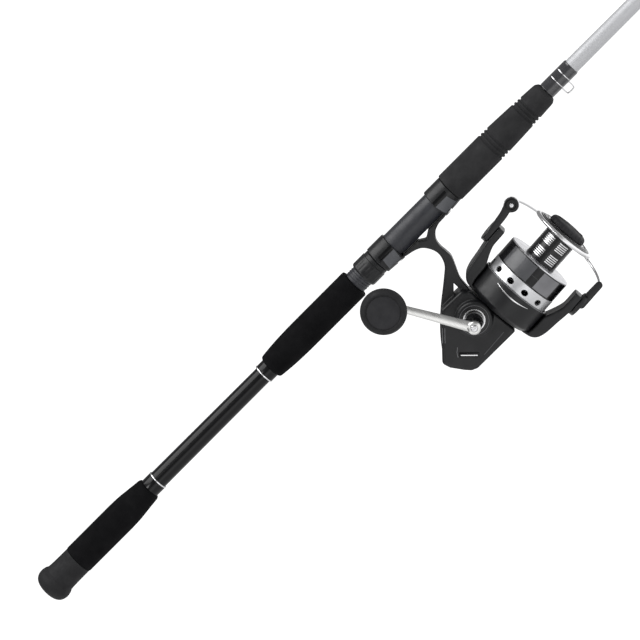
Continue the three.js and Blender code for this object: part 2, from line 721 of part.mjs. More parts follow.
// The three posts that the cover screws go into.
const posts = [
  [crankX - 36, -CRANK_DROP - 24],
  [crankX + 11, -CRANK_DROP - 31],
  [crankX - 10, -CRANK_DROP + 22],
];

function reelBody() {
  const inside = BODY_HALF_WIDTH - BODY_WALL;
  const housing = plateXZ(outline(housingOutline(0)), [-BODY_HALF_WIDTH, inside]);
  const stem = plateXZ(stemOutline(), [-STEM_HALF_WIDTH, STEM_HALF_WIDTH]);
  const toes = block(
    [footMiddle - FOOT_LENGTH / 2, footMiddle + FOOT_LENGTH / 2],
    [-FOOT_HALF_WIDTH, FOOT_HALF_WIDTH],
    [footBottom, footTop],
  );
  const legWindow = plateXZ(stemWindow(), [-BODY_HALF_WIDTH - 1, BODY_HALF_WIDTH + 1]);
  const arch = block([footMiddle - 9, footMiddle + 7], [-10, 10], [footBottom - 0.1, footTop + 1]);
  const cavity = plateXZ(outline(housingOutline(BODY_WALL)), [-inside, inside + 1]);
  const boss = turned("y", [
    [-BOSS_FACE, 0],
    [-BOSS_FACE, BOSS_RADIUS - 2],
    [-BOSS_FACE + 2, BOSS_RADIUS],
    [-inside + 1, BOSS_RADIUS],
    [-inside + 1, 0],
  ]).translate(crankX, 0, -CRANK_DROP);
  const bossBore = join(
    bar("y", -BOSS_FACE - 1, 0, CRANK_RADIUS + GAP, SMALL_SIDES),
    bar("y", -BOSS_FACE + 2, 0, BEARING_RADIUS + GAP),
  ).translate(crankX, 0, -CRANK_DROP);
  const neck = bar("x", NECK_REAR, NECK_FRONT, NECK_RADIUS).applyMatrix4(spoolFrame);
  const neckBore = join(
    bar("x", NECK_REAR - 1, NECK_FRONT, PINION_TOOTH_RADIUS + GAP, SMALL_SIDES),
    bar("x", NECK_REAR + 1, NECK_FRONT + 1, CLUTCH_RADIUS + GAP),
  ).applyMatrix4(spoolFrame);
  const columns = posts.map(([x, z]) =>
    bar("y", -BODY_HALF_WIDTH + 1, inside - GAP, POST_RADIUS, SMALL_SIDES).translate(x, 0, z),
  );
  const screwHoles = posts.map(([x, z]) =>
    bar("y", screwTip - GAP, BODY_HALF_WIDTH, SCREW_RADIUS + GAP, 8).translate(x, 0, z),
  );
  const shell = cut(join(housing, stem, cut(toes, arch), boss), cavity, legWindow);
  return cut(join(shell, neck, ...columns), bossBore, neckBore, ...screwHoles);
}

const coverInner = BODY_HALF_WIDTH - BODY_WALL + GAP;
const coverOuter = coverInner + COVER_THICKNESS;
const screwTip = coverInner - 9;

function sideCover() {
  const plate = plateXZ(outline(housingOutline(0.5)), [coverInner, coverOuter]);
  const seatDepth = BEARING_WIDTH + 1;
  const seatRing = bar("y", coverInner - seatDepth, coverInner + 0.5, BEARING_RADIUS + 1.8);
  const bearingBore = bar("y", coverInner - seatDepth - 1, coverInner, BEARING_RADIUS + GAP);
  const shaftHole = bar("y", coverInner - 2, coverOuter + 1, CRANK_RADIUS + GAP, SMALL_SIDES);
  const holes = posts.map(([x, z]) =>
    bar("y", coverInner - 1, coverOuter + 1, SCREW_RADIUS + GAP, 8).translate(x, 0, z),
  );
  const crankPlace = [crankX, 0, -CRANK_DROP];
  seatRing.translate(...crankPlace);
  bearingBore.translate(...crankPlace);
  shaftHole.translate(...crankPlace);
  return cut(join(plate, seatRing), bearingBore, shaftHole, ...holes);
}

function coverScrew([x, z]) {
  const head = coverOuter + GAP;
  return turned("y", [
    [screwTip, 0],
    [screwTip, SCREW_RADIUS],
    [head, SCREW_RADIUS],
    [head, SCREW_HEAD_RADIUS],
    [head + 1.2, SCREW_HEAD_RADIUS - 0.4],
    [head + 1.2, 0],
  ], 8).translate(x, 0, z);
}

// The cap over the crank hole on the side away from the handle.
function handleCap() {
  const low = coverOuter + GAP;
  return turned("y", [
    [low, 0],
    [low, 10],
    [low + 2.5, 10],
    [low + 3.5, 8.6],
    [low + 3.5, 0],
  ], 20).translate(crankX, 0, -CRANK_DROP);
}

// ---- Gears and shafts ----
const gearBack = -(PINION_TOOTH_RADIUS + GAP);
const crankEnd = coverOuter - 0.5;
const oscillationDistance = SMALL_GEAR_RADIUS + OSCILLATION_RADIUS + GAP;
const oscillationX = crankX + oscillationDistance * Math.cos(rad(OSCILLATION_ANGLE));
const oscillationZ = -CRANK_DROP + oscillationDistance * Math.sin(rad(OSCILLATION_ANGLE));
const blockHalf = MAIN_SHAFT_RADIUS + 2.4;
const oscillationY = Math.max(blockHalf, PINION_TOOTH_RADIUS) + GAP;
const hubRadius = NECK_RADIUS + 2 * GAP;
const hubFloor = NECK_FRONT + 2 * GAP;
const hubFront = hubFloor + HUB_WALL;

function driveGear() {
  const shaft = bar("y", -BOSS_FACE - GAP, crankEnd, CRANK_RADIUS, SMALL_SIDES);
  const teeth = gearOutline([0, 0], DRIVE_GEAR_RADIUS, DRIVE_GEAR_TEETH, 1.2);
  const wheel = plateXZ(teeth, [gearBack - 4, gearBack]);
  const small = plateXZ(gearOutline([0, 0], SMALL_GEAR_RADIUS, 8, 1), [oscillationY, oscillationY + 4]);
  return join(shaft, wheel, small).translate(crankX, 0, -CRANK_DROP);
}

function crankBearing(low) {
  return tube("y", low, low + BEARING_WIDTH, BEARING_RADIUS, CRANK_RADIUS + GAP, 16).translate(
    crankX, 0, -CRANK_DROP,
  );
}

function oscillationGear() {
  const shape = gearOutline([0, 0], OSCILLATION_RADIUS, OSCILLATION_TEETH, 1);
  const wheel = plateXZ(shape, [oscillationY, oscillationY + 4]);
  const axle = bar("y", oscillationY + 1, coverInner - GAP, 2, 8);
  return join(wheel, axle).translate(oscillationX, 0, oscillationZ);
}

function pinion() {
  const shape = gearOutline([0, 0], PINION_TOOTH_RADIUS, PINION_TEETH, 0.8);
  const teeth = plateXY(shape, [0, 9]).rotateY(Math.PI / 2).translate(PINION_REAR, 0, 0);
  const sleeveOf = bar("x", PINION_REAR, hubFront + 7, PINION_RADIUS, SMALL_SIDES);
  const bore = bar("x", PINION_REAR - 1, hubFront + 8, MAIN_SHAFT_RADIUS + GAP, SMALL_SIDES);
  return cut(join(teeth, sleeveOf), bore);
}

// The bearing and the one-way clutch sit one behind the other in the body's neck.
const bearingRear = NECK_REAR + 1 + GAP;
const bearingFront = bearingRear + PINION_BEARING_WIDTH;
const pinionRing = (low, high, radius) => tube("x", low, high, radius, PINION_RADIUS + GAP, SMALL_SIDES);

function crosswindBlock() {
  const rear = MAIN_SHAFT_REAR + 4;
  const body = block([rear, rear + 9], [-blockHalf, blockHalf], [-4.5, 6]);
  return cut(body, bar("x", rear - 1, rear + 10, MAIN_SHAFT_RADIUS + GAP, SMALL_SIDES));
}

// ---- Rotor and bail, along the spool axis ----
// One side of the rotor's yoke in X and Z: from the back plate out and along the arm to its tip.
function yokeOutline(way) {
  const inner = ARM_OUTER - ARM_THICKNESS;
  return outline([
    [0, way * hubRadius],
    [CUP_FLOOR, way * hubRadius],
    [CUP_FLOOR, way * (CUP_RADIUS - 2)],
    [9, way * (CUP_RADIUS - 0.5)],
    [CUP_DEPTH, way * (CUP_RADIUS + 3)],
    [BAIL_PIVOT - 10, way * inner],
    [ARM_TIP, way * inner],
    [ARM_TIP, way * ARM_OUTER],
    [BAIL_PIVOT - 9, way * ARM_OUTER],
    [28, way * (ARM_OUTER - 2.2)],
    [11, way * (ARM_OUTER - 4.5)],
    [4, way * (ARM_OUTER - 9)],
    [0, way * (CUP_RADIUS - 5)],
  ]);
}

function rotor() {
  const bore = PINION_RADIUS + GAP;
  const cup = turned("x", [
    [0, hubRadius],
    [0, CUP_RADIUS - 5],
    [4, CUP_RADIUS],
    [CUP_DEPTH, CUP_RADIUS],
    [CUP_DEPTH, CUP_RADIUS - CUP_WALL],
    [CUP_FLOOR, CUP_RADIUS - CUP_WALL],
    [CUP_FLOOR, hubRadius + HUB_WALL],
    [hubFront, hubRadius + HUB_WALL],
    [hubFront, bore],
    [hubFloor, bore],
    [hubFloor, hubRadius],
    [0, hubRadius],
  ]);
  const arms = [-1, 1].map((way) => plateXZ(yokeOutline(way), [-ARM_HALF_WIDTH, ARM_HALF_WIDTH]));
  const pins = [-1, 1].map((way) => {
    const ends = [way * (ARM_OUTER - 2), way * (pivotOuter + GAP)].sort((a, b) => a - b);
    return bar("z", ...ends, BAIL_PIN_RADIUS, SMALL_SIDES).translate(BAIL_PIVOT, 0, 0);
  });
  const clearOf = (piece) => {
    const hollow = bar("x", CUP_FLOOR, ARM_TIP + 10, CUP_RADIUS - CUP_WALL);
    const recess = bar("x", -1, CUP_FLOOR + 1, hubRadius);
    return cut(piece, hollow, recess);
  };
  return join(cup, ...arms.map(clearOf), ...pins);
}

function rotorNut() {
  const hexagon = bar("x", hubFront + GAP, hubFront + 5.5, 9, 6);
  return cut(hexagon, bar("x", hubFront, hubFront + 6, PINION_RADIUS + GAP, SMALL_SIDES));
}

const bossOuter = ROLLER_SIDE - GAP;
const bossNear = bossOuter - ROLLER_BOSS_WIDTH;
const rollerFar = ROLLER_SIDE + ROLLER_WIDTH;

function pivotDisc(way) {
  const ends = [way * pivotFace, way * pivotOuter].sort((a, b) => a - b);
  return tube("z", ...ends, -bossNear - 1, BAIL_PIN_RADIUS + GAP, 16).translate(BAIL_PIVOT, 0, 0);
}

function bailArm() {
  const end = [ROLLER_STATION, rollerCentre];
  const shape = taperedBar([BAIL_PIVOT + 3, pivotFace + 5.5], 5.5, end, ROLLER_BOSS_RADIUS);
  const lever = plateXZ(shape, [bossNear, bossOuter], 5);
  const boreAround = bar("z", ARM_OUTER, pivotOuter + 20, BAIL_PIN_RADIUS + GAP, SMALL_SIDES);
  const slice = block([BAIL_PIVOT - 20, BAIL_PIVOT + BAIL_SWEEP], [-20, 20], [0, pivotFace]);
  const hole = bar("y", bossNear - 1, bossOuter + 1, SCREW_RADIUS + GAP, 8);
  hole.translate(ROLLER_STATION, 0, rollerCentre);
  return cut(join(pivotDisc(1), lever), boreAround.translate(BAIL_PIVOT, 0, 0), slice, hole);
}

function lineRoller() {
  const middle = (ROLLER_SIDE + rollerFar) / 2;
  return sleeve("y", [
    [ROLLER_SIDE, ROLLER_RADIUS],
    [ROLLER_SIDE + 1, ROLLER_RADIUS],
    [middle, ROLLER_RADIUS - 1.6],
    [rollerFar - 1, ROLLER_RADIUS],
    [rollerFar, ROLLER_RADIUS],
  ], SCREW_RADIUS + GAP, 16).translate(ROLLER_STATION, 0, rollerCentre);
}

function rollerScrew() {
  return turned("y", [
    [bossNear - GAP - 1.3, 0],
    [bossNear - GAP - 1.3, SCREW_HEAD_RADIUS],
    [bossNear - GAP, SCREW_HEAD_RADIUS],
    [bossNear - GAP, SCREW_RADIUS],
    [rollerFar + 3, SCREW_RADIUS],
    [rollerFar + 3, 0],
  ], 10).translate(ROLLER_STATION, 0, rollerCentre);
}

const wireStart = rollerFar + GAP;

// The bail wire's bow, from the roller round the far side to the lever.
class BailBow extends THREE.Curve {
  getPoint(share) {
    const angle = share * Math.PI;
    const forward = WIRE_BULGE * Math.sin(angle);
    const x = THREE.MathUtils.lerp(ROLLER_STATION, WIRE_STATION_FAR, share) + forward;
    const y = wireStart + 2.5 + WIRE_BOW * Math.sin(angle);
    return new THREE.Vector3(x, y, rollerCentre * Math.cos(angle));
  }
}

function bailWire() {
  const section = new THREE.Shape().absarc(0, 0, WIRE_RADIUS, 0, 2 * Math.PI, false);
  const options = { steps: 22, extrudePath: new BailBow(), curveSegments: 4, bevelEnabled: false };
  const wire = new THREE.ExtrudeGeometry(section, options);
  const root = turned("y", [
    [wireStart, 0],
    [wireStart, ROLLER_RADIUS],
    [wireStart + 2, ROLLER_RADIUS - 0.6],
    [wireStart + 6, WIRE_RADIUS + 0.8],
    [wireStart + 6, 0],
  ], 16).translate(ROLLER_STATION, 0, rollerCentre);
  const hole = bar("y", wireStart - 1, rollerFar + 3 + GAP, SCREW_RADIUS + GAP, 8);
  return cut(join(wire, root), hole.translate(ROLLER_STATION, 0, rollerCentre));
}

function bailLever() {
  const near = -4;
  const far = wireStart + 2.5 - GAP;
  const shape = taperedBar([BAIL_PIVOT + 2, -pivotFace - 4], 4, [WIRE_STATION_FAR, -rollerCentre], 3.4);
  const lever = plateXZ(shape, [near, far], 4);
  const clear = bar("z", -pivotOuter - 20, -ARM_OUTER, BAIL_PIN_RADIUS + GAP, SMALL_SIDES);
  const slice = block([BAIL_PIVOT - 20, BAIL_PIVOT + BAIL_SWEEP], [-20, 20], [-pivotFace, 0]);
  return cut(join(pivotDisc(-1), lever), clear.translate(BAIL_PIVOT, 0, 0), slice);
}

// ---- Spool and drag ----
function spool() {
  const bore = MAIN_SHAFT_RADIUS + GAP;
  const arborEnd = SKIRT_TOP + ARBOR_LENGTH;
  const inner = SKIRT_RADIUS - SKIRT_WALL;
  const body = turned("x", [
    [SKIRT_TOP - 3, bore],
    [SKIRT_TOP - 3, inner],
    [SKIRT_REAR, inner],
    [SKIRT_REAR, SKIRT_BAND_RADIUS],
    [SKIRT_STEP, SKIRT_BAND_RADIUS],
    [SKIRT_STEP, SKIRT_RADIUS],
    [SKIRT_TOP - 1, SKIRT_RADIUS],
    [SKIRT_TOP, SKIRT_RADIUS - 1],
    [SKIRT_TOP, ARBOR_RADIUS],
    [arborEnd, ARBOR_RADIUS],
    [arborEnd + 0.6, LIP_RADIUS - 1],
    [arborEnd + LIP_WIDTH / 2, LIP_RADIUS],
    [spoolNose, LIP_RADIUS - 1.6],
    [spoolNose, FACE_RADIUS],
    [spoolFront, FACE_RADIUS - 0.5],
    [spoolFront, DRAG_BORE_RADIUS],
    [spoolFront - DRAG_BORE_DEPTH, DRAG_BORE_RADIUS],
    [spoolFront - DRAG_BORE_DEPTH, bore],
    [SKIRT_TOP - 3, bore],
  ]);
  const holes = Array.from({ length: SKIRT_HOLES }, (_, i) => {
    const hole = bar("z", inner - 1, SKIRT_BAND_RADIUS + 1, SKIRT_HOLE_RADIUS, 6);
    const angle = (i / SKIRT_HOLES) * 2 * Math.PI + rad(SKIRT_HOLE_TURN);
    return hole.translate(SKIRT_HOLE_STATION, 0, 0).rotateX(angle);
  });
  return cut(body, ...holes);
}

const washerStart = spoolFront - DRAG_BORE_DEPTH + GAP;
const washerEnd = washerStart + 6;

function dragWashers() {
  const radius = DRAG_BORE_RADIUS - GAP;
  const outside = [];
  for (let i = 0; i < 3; i += 1) {
    const x = washerStart + i * 2;
    outside.push([x, radius], [x + 1.2, radius], [x + 1.2, radius - 1], [x + 2, radius - 1]);
  }
  return sleeve("x", outside, MAIN_SHAFT_RADIUS + GAP, SMALL_SIDES);
}

function dragKnob() {
  const front = knobRear + DRAG_KNOB_LENGTH;
  const bore = MAIN_SHAFT_RADIUS + GAP;
  return turned("x", [
    [washerEnd + GAP, bore],
    [washerEnd + GAP, DRAG_BORE_RADIUS - 4],
    [knobRear, DRAG_BORE_RADIUS - 4],
    [knobRear, DRAG_KNOB_RADIUS],
    [knobRear + 3, DRAG_KNOB_RADIUS],
    [front - 1.5, DRAG_KNOB_RADIUS - 1.8],
    [front, DRAG_KNOB_RADIUS - 4],
    [front, 0],
    [shaftFront + GAP, 0],
    [shaftFront + GAP, bore],
    [washerEnd + GAP, bore],
  ]);
}

// ---- Handle ----
function handleShank() {
  const low = armInner + GAP;
  const high = -BOSS_FACE - 2 * GAP;
  return sleeve("y", [
    [low, SHANK_NECK_RADIUS],
    [high - 8, SHANK_RADIUS],
    [high, SHANK_RADIUS],
  ], 2, 20).translate(crankX, 0, -CRANK_DROP);
}

const armInner = -ARM_FACE;
const screwHead = armOuterFace - 1.3;

function handleArm() {
  const shape = taperedBar([crankX, -CRANK_DROP], ARM_BOSS_RADIUS, [knobX, knobZ], ARM_END_RADIUS);
  const arm = plateXZ(shape, [armOuterFace, armInner]);
  const bossRing = bar("y", armOuterFace - 1, armInner, ARM_BOSS_RADIUS + 0.8, 20);
  const screwHole = bar("y", armOuterFace - 2, armOuterFace + 4, SCREW_RADIUS + 2 * GAP, 8);
  const spindleHole = bar("y", armOuterFace - 1, armInner + 1, 1.6, 8).translate(knobX, 0, knobZ);
  bossRing.translate(crankX, 0, -CRANK_DROP);
  screwHole.translate(crankX, 0, -CRANK_DROP);
  return cut(join(arm, bossRing), screwHole, spindleHole);
}

function armScrew() {
  return turned("y", [
    [screwHead - 1.2, 0],
    [screwHead - 1.2, SCREW_HEAD_RADIUS + 0.6],
    [screwHead, SCREW_HEAD_RADIUS + 0.8],
    [screwHead, SCREW_RADIUS],
    [armOuterFace + 3, SCREW_RADIUS],
    [armOuterFace + 3, 0],
  ], 12).translate(crankX, 0, -CRANK_DROP);
}

// The spindle's thin tail is riveted in the arm, and its pin carries the knob.
function knobSpindle() {
  return turned("y", [
    [knobOuter + 6, 0],
    [knobOuter + 6, SPINDLE_RADIUS],
    [knobInner + GAP, SPINDLE_RADIUS],
    [knobInner + GAP, 4.5],
    [armOuterFace - GAP, 4.5],
    [armOuterFace - GAP, 1.3],
    [armInner - 1, 1.3],
    [armInner - 1, 0],
  ], SMALL_SIDES).translate(knobX, 0, knobZ);
}

function handleKnob() {
  const widest = knobOuter + 8;
  return turned("y", [
    [knobOuter + 1.2, 0],
    [knobOuter + 1.2, KNOB_FACE_RADIUS],
    [knobOuter, KNOB_FACE_RADIUS + 1],
    [knobOuter + 1.5, KNOB_RADIUS - 2.5],
    [widest, KNOB_RADIUS],
    [widest + 8, KNOB_RADIUS - 4],
    [knobInner - 5, KNOB_NECK_RADIUS],
    [knobInner, KNOB_NECK_RADIUS],
    [knobInner, SPINDLE_RADIUS + GAP],
    [knobOuter + 6 - GAP, SPINDLE_RADIUS + GAP],
    [knobOuter + 6 - GAP, 0],
  ]).translate(knobX, 0, knobZ);
}

// ---- The rod and what is clamped to it ----
add("butt_cap", buttCap(), FINISHES.rubber);
add("butt_grip", buttGrip(), FINISHES.foam);
add("butt_collar", collar(buttCollarStart, COLLAR_LENGTH, false), FINISHES.blackGloss);
add("blank", blank(), FINISHES.silverPaint);
add("rear_collar", collar(rearTrimStart, REAR_COLLAR_LENGTH, true), FINISHES.blackGloss);
add("rear_grip", rearGrip(), FINISHES.foam);
add("reel_seat", reelSeat(), FINISHES.seat);
add("lock_nut", lockNut(), FINISHES.graphite);
add("rear_hood", hood(rearHoodStart, rearHoodEnd), FINISHES.graphite);
add("front_hood", hood(seatEnd, frontHoodStart), FINISHES.graphite);
add("fore_grip", foreGrip(), FINISHES.foam);
add("fore_winding", foreWinding(), FINISHES.thread);
add("hook_keeper", hookKeeper(), FINISHES.steel);

GUIDES.forEach(({ fromTip, ringRadius, drop }, i) => {
  const guide = { x: ROD_LENGTH - fromTip, ringRadius, drop };
  add(`guide_frame_${i + 1}`, guideFrame(guide), FINISHES.steel);
  add(`guide_ring_${i + 1}`, guideRing(guide), FINISHES.ceramic);
  add(`guide_wrap_${i + 1}`, guideWrap(guide), FINISHES.thread);
});
add("tip_top", tipTop(), FINISHES.steel);
add("tip_ring", tipRing(), FINISHES.ceramic);

// ---- The reel's body and drive ----
add("reel_body", reelBody(), FINISHES.graphite);
add("side_cover", sideCover(), FINISHES.graphite);
posts.forEach((post, i) => add(`cover_screw_${i + 1}`, coverScrew(post), FINISHES.steel));
add("handle_cap", handleCap(), FINISHES.graphite);
add("drive_gear", driveGear(), FINISHES.brass);
add("left_bearing", crankBearing(-BOSS_FACE + 2 + GAP), FINISHES.steel);
add("right_bearing", crankBearing(coverInner - GAP - BEARING_WIDTH), FINISHES.steel);
add("oscillation_gear", oscillationGear(), FINISHES.brass);
add("pinion", pinion(), FINISHES.brass, alongSpool);
const pinionBearing = pinionRing(bearingRear, bearingFront, PINION_BEARING_RADIUS);
add("pinion_bearing", pinionBearing, FINISHES.steel, alongSpool);
const clutch = pinionRing(bearingFront + GAP, NECK_FRONT, CLUTCH_RADIUS);
add("anti_reverse_clutch", clutch, FINISHES.steel, alongSpool);
add("main_shaft", bar("x", MAIN_SHAFT_REAR, shaftFront, MAIN_SHAFT_RADIUS, SMALL_SIDES),
  FINISHES.steel, alongSpool);
add("crosswind_block", crosswindBlock(), FINISHES.graphite, alongSpool);

// ---- What turns in front of the body ----
add("rotor", rotor(), FINISHES.graphite, alongSpool);
add("rotor_nut", rotorNut(), FINISHES.brass, alongSpool);
add("bail_arm", bailArm(), FINISHES.graphite, alongSpool);
add("line_roller", lineRoller(), FINISHES.steel, alongSpool);
add("roller_screw", rollerScrew(), FINISHES.steel, alongSpool);
add("bail_wire", bailWire(), FINISHES.steel, alongSpool);
add("bail_lever", bailLever(), FINISHES.graphite, alongSpool);
add("spool", spool(), FINISHES.spool, alongSpool);
add("drag_washers", dragWashers(), FINISHES.felt, alongSpool);
add("drag_knob", dragKnob(), FINISHES.rubber, alongSpool);

// ---- The handle ----
add("handle_shank", handleShank(), FINISHES.graphite);
add("handle_arm", handleArm(), FINISHES.aluminium);
add("arm_screw", armScrew(), FINISHES.steel);
add("knob_spindle", knobSpindle(), FINISHES.steel);
add("handle_knob", handleKnob(), FINISHES.rubber);

export default rodAndReel;
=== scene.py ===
# %% [markdown]
# # A spinning rod and its reel
# This file dresses a finished CAD frame of a heavy spinning rod with a front-drag reel.
# The frame already knows every size, place and joint, so the script asks it instead of
# measuring again. Each step below first says what the real piece is and how it could be
# made in Blender, and then makes it.

import json
import math

import bmesh
import bpy
from mathutils import Matrix, Vector


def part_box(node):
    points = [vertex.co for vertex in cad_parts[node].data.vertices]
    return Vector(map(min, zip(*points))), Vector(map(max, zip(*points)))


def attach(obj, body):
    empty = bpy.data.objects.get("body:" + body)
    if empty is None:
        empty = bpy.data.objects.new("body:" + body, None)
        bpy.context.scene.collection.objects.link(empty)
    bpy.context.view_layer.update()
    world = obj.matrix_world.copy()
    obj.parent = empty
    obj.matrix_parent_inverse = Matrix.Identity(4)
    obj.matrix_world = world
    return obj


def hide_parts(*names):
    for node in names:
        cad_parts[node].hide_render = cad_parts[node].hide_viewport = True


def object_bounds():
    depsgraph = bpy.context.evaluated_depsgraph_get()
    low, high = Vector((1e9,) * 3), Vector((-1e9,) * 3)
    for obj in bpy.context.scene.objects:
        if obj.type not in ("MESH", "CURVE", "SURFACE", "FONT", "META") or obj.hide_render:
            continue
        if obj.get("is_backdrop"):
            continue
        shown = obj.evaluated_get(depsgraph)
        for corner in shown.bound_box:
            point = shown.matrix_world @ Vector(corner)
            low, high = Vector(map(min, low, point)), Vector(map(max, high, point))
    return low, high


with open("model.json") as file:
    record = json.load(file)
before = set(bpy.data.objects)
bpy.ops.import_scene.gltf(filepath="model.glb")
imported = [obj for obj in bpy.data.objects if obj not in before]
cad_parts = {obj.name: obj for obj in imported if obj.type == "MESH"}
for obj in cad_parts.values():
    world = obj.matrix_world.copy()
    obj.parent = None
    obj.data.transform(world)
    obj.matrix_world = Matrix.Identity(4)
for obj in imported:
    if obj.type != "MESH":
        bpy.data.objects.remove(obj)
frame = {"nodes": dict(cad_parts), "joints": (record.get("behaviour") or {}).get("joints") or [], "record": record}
cad_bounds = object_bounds()
record = frame["record"]
joints = {joint["name"]: joint for joint in frame["joints"]}

# %% [markdown]
# ## Where things are
# Blender works in metres and a rod builder in millimetres, so one constant turns one into
# the other. Three places of the reel come up again and again: the spool axis, which leans
# a little towards the rod, the crank axis and the knob's spindle. A matrix for each lets a
# piece be drawn lying along its own X axis and then be put in place in one step.

# %% Local frames
MM = 0.001


def axis_frame(origin, along, across=(0, 0, 1)):
    """A matrix whose X runs along a direction and whose Z leans towards another."""
    x = Vector(along).normalized()
    y = Vector(across).cross(x).normalized()
    z = x.cross(y)
    turn = Matrix((x, y, z)).transposed().to_4x4()
    return Matrix.Translation(Vector(origin)) @ turn


ROD = Matrix.Identity(4)
SPOOL = axis_frame(joints["rotor_spin"]["pos_m"], joints["rotor_spin"]["axis"])
crank_point = Vector(joints["crank_turn"]["pos_m"])
knob_point = Vector(joints["knob_spin"]["pos_m"])
knob_point.y = 0
CRANK = axis_frame(crank_point, (0, -1, 0))
KNOB = axis_frame(knob_point, (0, -1, 0))


def span(node):
    """First and last station of a piece along the rod, in millimetres."""
    low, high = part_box(node)
    return low.x / MM, high.x / MM


def reach(node):
    """The largest radius about the rod's axis of a round piece, in millimetres."""
    low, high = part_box(node)
    return high.y / MM


print("spool axis at", [round(v, 4) for v in SPOOL.translation])
print("butt cap spans", [round(v, 1) for v in span("butt_cap")], "mm")

# %% [markdown]
# ## The camera
# The catalogue view is taken from far away with a long lens, a little from the tip side
# and a little from above, and the camera is rolled so that the rod climbs at 45 degrees.
# A roll is easiest to build as three directions: right, up and back towards the camera.

# %% Camera
FRAME_WIDTH = 0.5888
LENS = 300.0
SENSOR = 36.0
aim = Vector((0.363, 0.0, -0.0014))
side, rise = math.radians(9.0), math.radians(6.5)
back = Vector((math.sin(side) * math.cos(rise), -math.cos(side) * math.cos(rise), math.sin(rise)))
along = (Vector((1, 0, 0)) - back * back.x).normalized()
over = back.cross(along)
right = (along - over).normalized()
up = (along + over).normalized()
distance = FRAME_WIDTH * LENS / SENSOR

lens = bpy.data.cameras.new("catalogue_camera")
lens.lens = LENS
lens.sensor_width = SENSOR
lens.clip_end = 400
camera = bpy.data.objects.new("catalogue_camera", lens)
turn = Matrix((right, up, back)).transposed().to_4x4()
camera.matrix_world = Matrix.Translation(aim + back * distance) @ turn
bpy.context.scene.collection.objects.link(camera)
bpy.context.scene.camera = camera
print("camera stands", round(distance, 2), "m away")

# %% [markdown]
# ## The room
# A plain white sweep: a very large pale floor well under the object, so that its edge
# never shows. Black things are seen by what they reflect, so the sky is kept dim, one
# wide lamp hangs over the rod, and the floor glows only far behind the object. That keeps
# the paper white in the picture without a white room washing the blacks out.

# %% Floor and sky
FLOOR_DROP = 0.75
floor_mesh = bpy.data.meshes.new("floor")
half = 150.0
corners = [(-half, -half, 0), (half, -half, 0), (half, half, 0), (-half, half, 0)]
floor_mesh.from_pydata(corners, [], [(0, 1, 2, 3)])
floor = bpy.data.objects.new("floor", floor_mesh)
floor.location = (0, 0, -FLOOR_DROP)
bpy.context.scene.collection.objects.link(floor)
floor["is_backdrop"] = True

paper = bpy.data.materials.new("white_paper")
paper.use_nodes = True
paper_nodes, paper_links = paper.node_tree.nodes, paper.node_tree.links
paper_shader = paper_nodes["Principled BSDF"]
paper_shader.inputs["Base Color"].default_value = (0.95, 0.95, 0.95, 1)
paper_shader.inputs["Roughness"].default_value = 0.9
paper_shader.inputs["Emission Color"].default_value = (1, 1, 1, 1)
distance_node = paper_nodes.new("ShaderNodeVectorMath")
distance_node.operation = "LENGTH"
paper_links.new(paper_nodes.new("ShaderNodeTexCoord").outputs["Object"], distance_node.inputs[0])
glow = paper_nodes.new("ShaderNodeMapRange")
glow.interpolation_type = "SMOOTHSTEP"
glow.inputs["From Min"].default_value = 0.7
glow.inputs["From Max"].default_value = 2.1
glow.inputs["To Max"].default_value = 0.85
paper_links.new(distance_node.outputs["Value"], glow.inputs["Value"])
paper_links.new(glow.outputs["Result"], paper_shader.inputs["Emission Strength"])
floor_mesh.materials.append(paper)

sky = bpy.data.worlds.new("studio")
sky.use_nodes = True
sky.node_tree.nodes["Background"].inputs["Color"].default_value = (1, 1, 1, 1)
sky.node_tree.nodes["Background"].inputs["Strength"].default_value = 0.3
bpy.context.scene.world = sky
bpy.context.scene.view_settings.view_transform = "Standard"


# %% [markdown]
# ### Lamps
# Two big soft lamps light the rod. The large one above gives the long pale highlights along
# the tubes, and the smaller one in front opens up the near side of the black reel.

# %% Lamps
def soft_lamp(name, place, target, size, power):
    """A large square lamp that faces a point."""
    light = bpy.data.lights.new(name, "AREA")
    light.shape = "SQUARE"
    light.size = size
    light.energy = power
    lamp = bpy.data.objects.new(name, light)
    lamp.location = place
    lamp.rotation_euler = (Vector(target) - Vector(place)).to_track_quat("-Z", "Y").to_euler()
    bpy.context.scene.collection.objects.link(lamp)
    return lamp


soft_lamp("top_lamp", (0.5, -0.6, 2.2), (0.4, 0, 0), 2.2, 55)
soft_lamp("front_lamp", (-1.2, -2.6, 1.7), (0.4, 0, 0), 0.9, 22)

# %% [markdown]
# ## Mesh helpers
# Nearly everything on a rod is turned or moulded, so four helpers carry the work.
# `turned` spins a profile about an axis, like a lathe. `swept` runs a round section along
# a path, like bent wire. `plate` cuts an outline out of sheet and rounds its edges with a
# bevel. `cast` melts several of these into one skin with a voxel remesh, which leaves the
# small fillets that a moulding has. Sharp edges stay sharp by an angle limit.

# %% Helper: finish a mesh
SHARP = math.radians(38)


def new_piece(name, vertices, faces, place=ROD, sharp=SHARP):
    """A mesh object from points in millimetres, in a local frame."""
    mesh = bpy.data.meshes.new(name)
    mesh.from_pydata([Vector(v) * MM for v in vertices], [], faces)
    work = bmesh.new()
    work.from_mesh(mesh)
    bmesh.ops.remove_doubles(work, verts=work.verts, dist=1e-7)
    bmesh.ops.recalc_face_normals(work, faces=work.faces)
    work.to_mesh(mesh)
    work.free()
    piece = bpy.data.objects.new(name, mesh)
    piece.matrix_world = place
    bpy.context.scene.collection.objects.link(piece)
    soften(piece, sharp)
    return piece


def soften(piece, sharp=SHARP):
    """Smooth shading that keeps edges sharper than an angle."""
    piece.data.shade_smooth()
    piece.data.set_sharp_from_angle(angle=sharp)


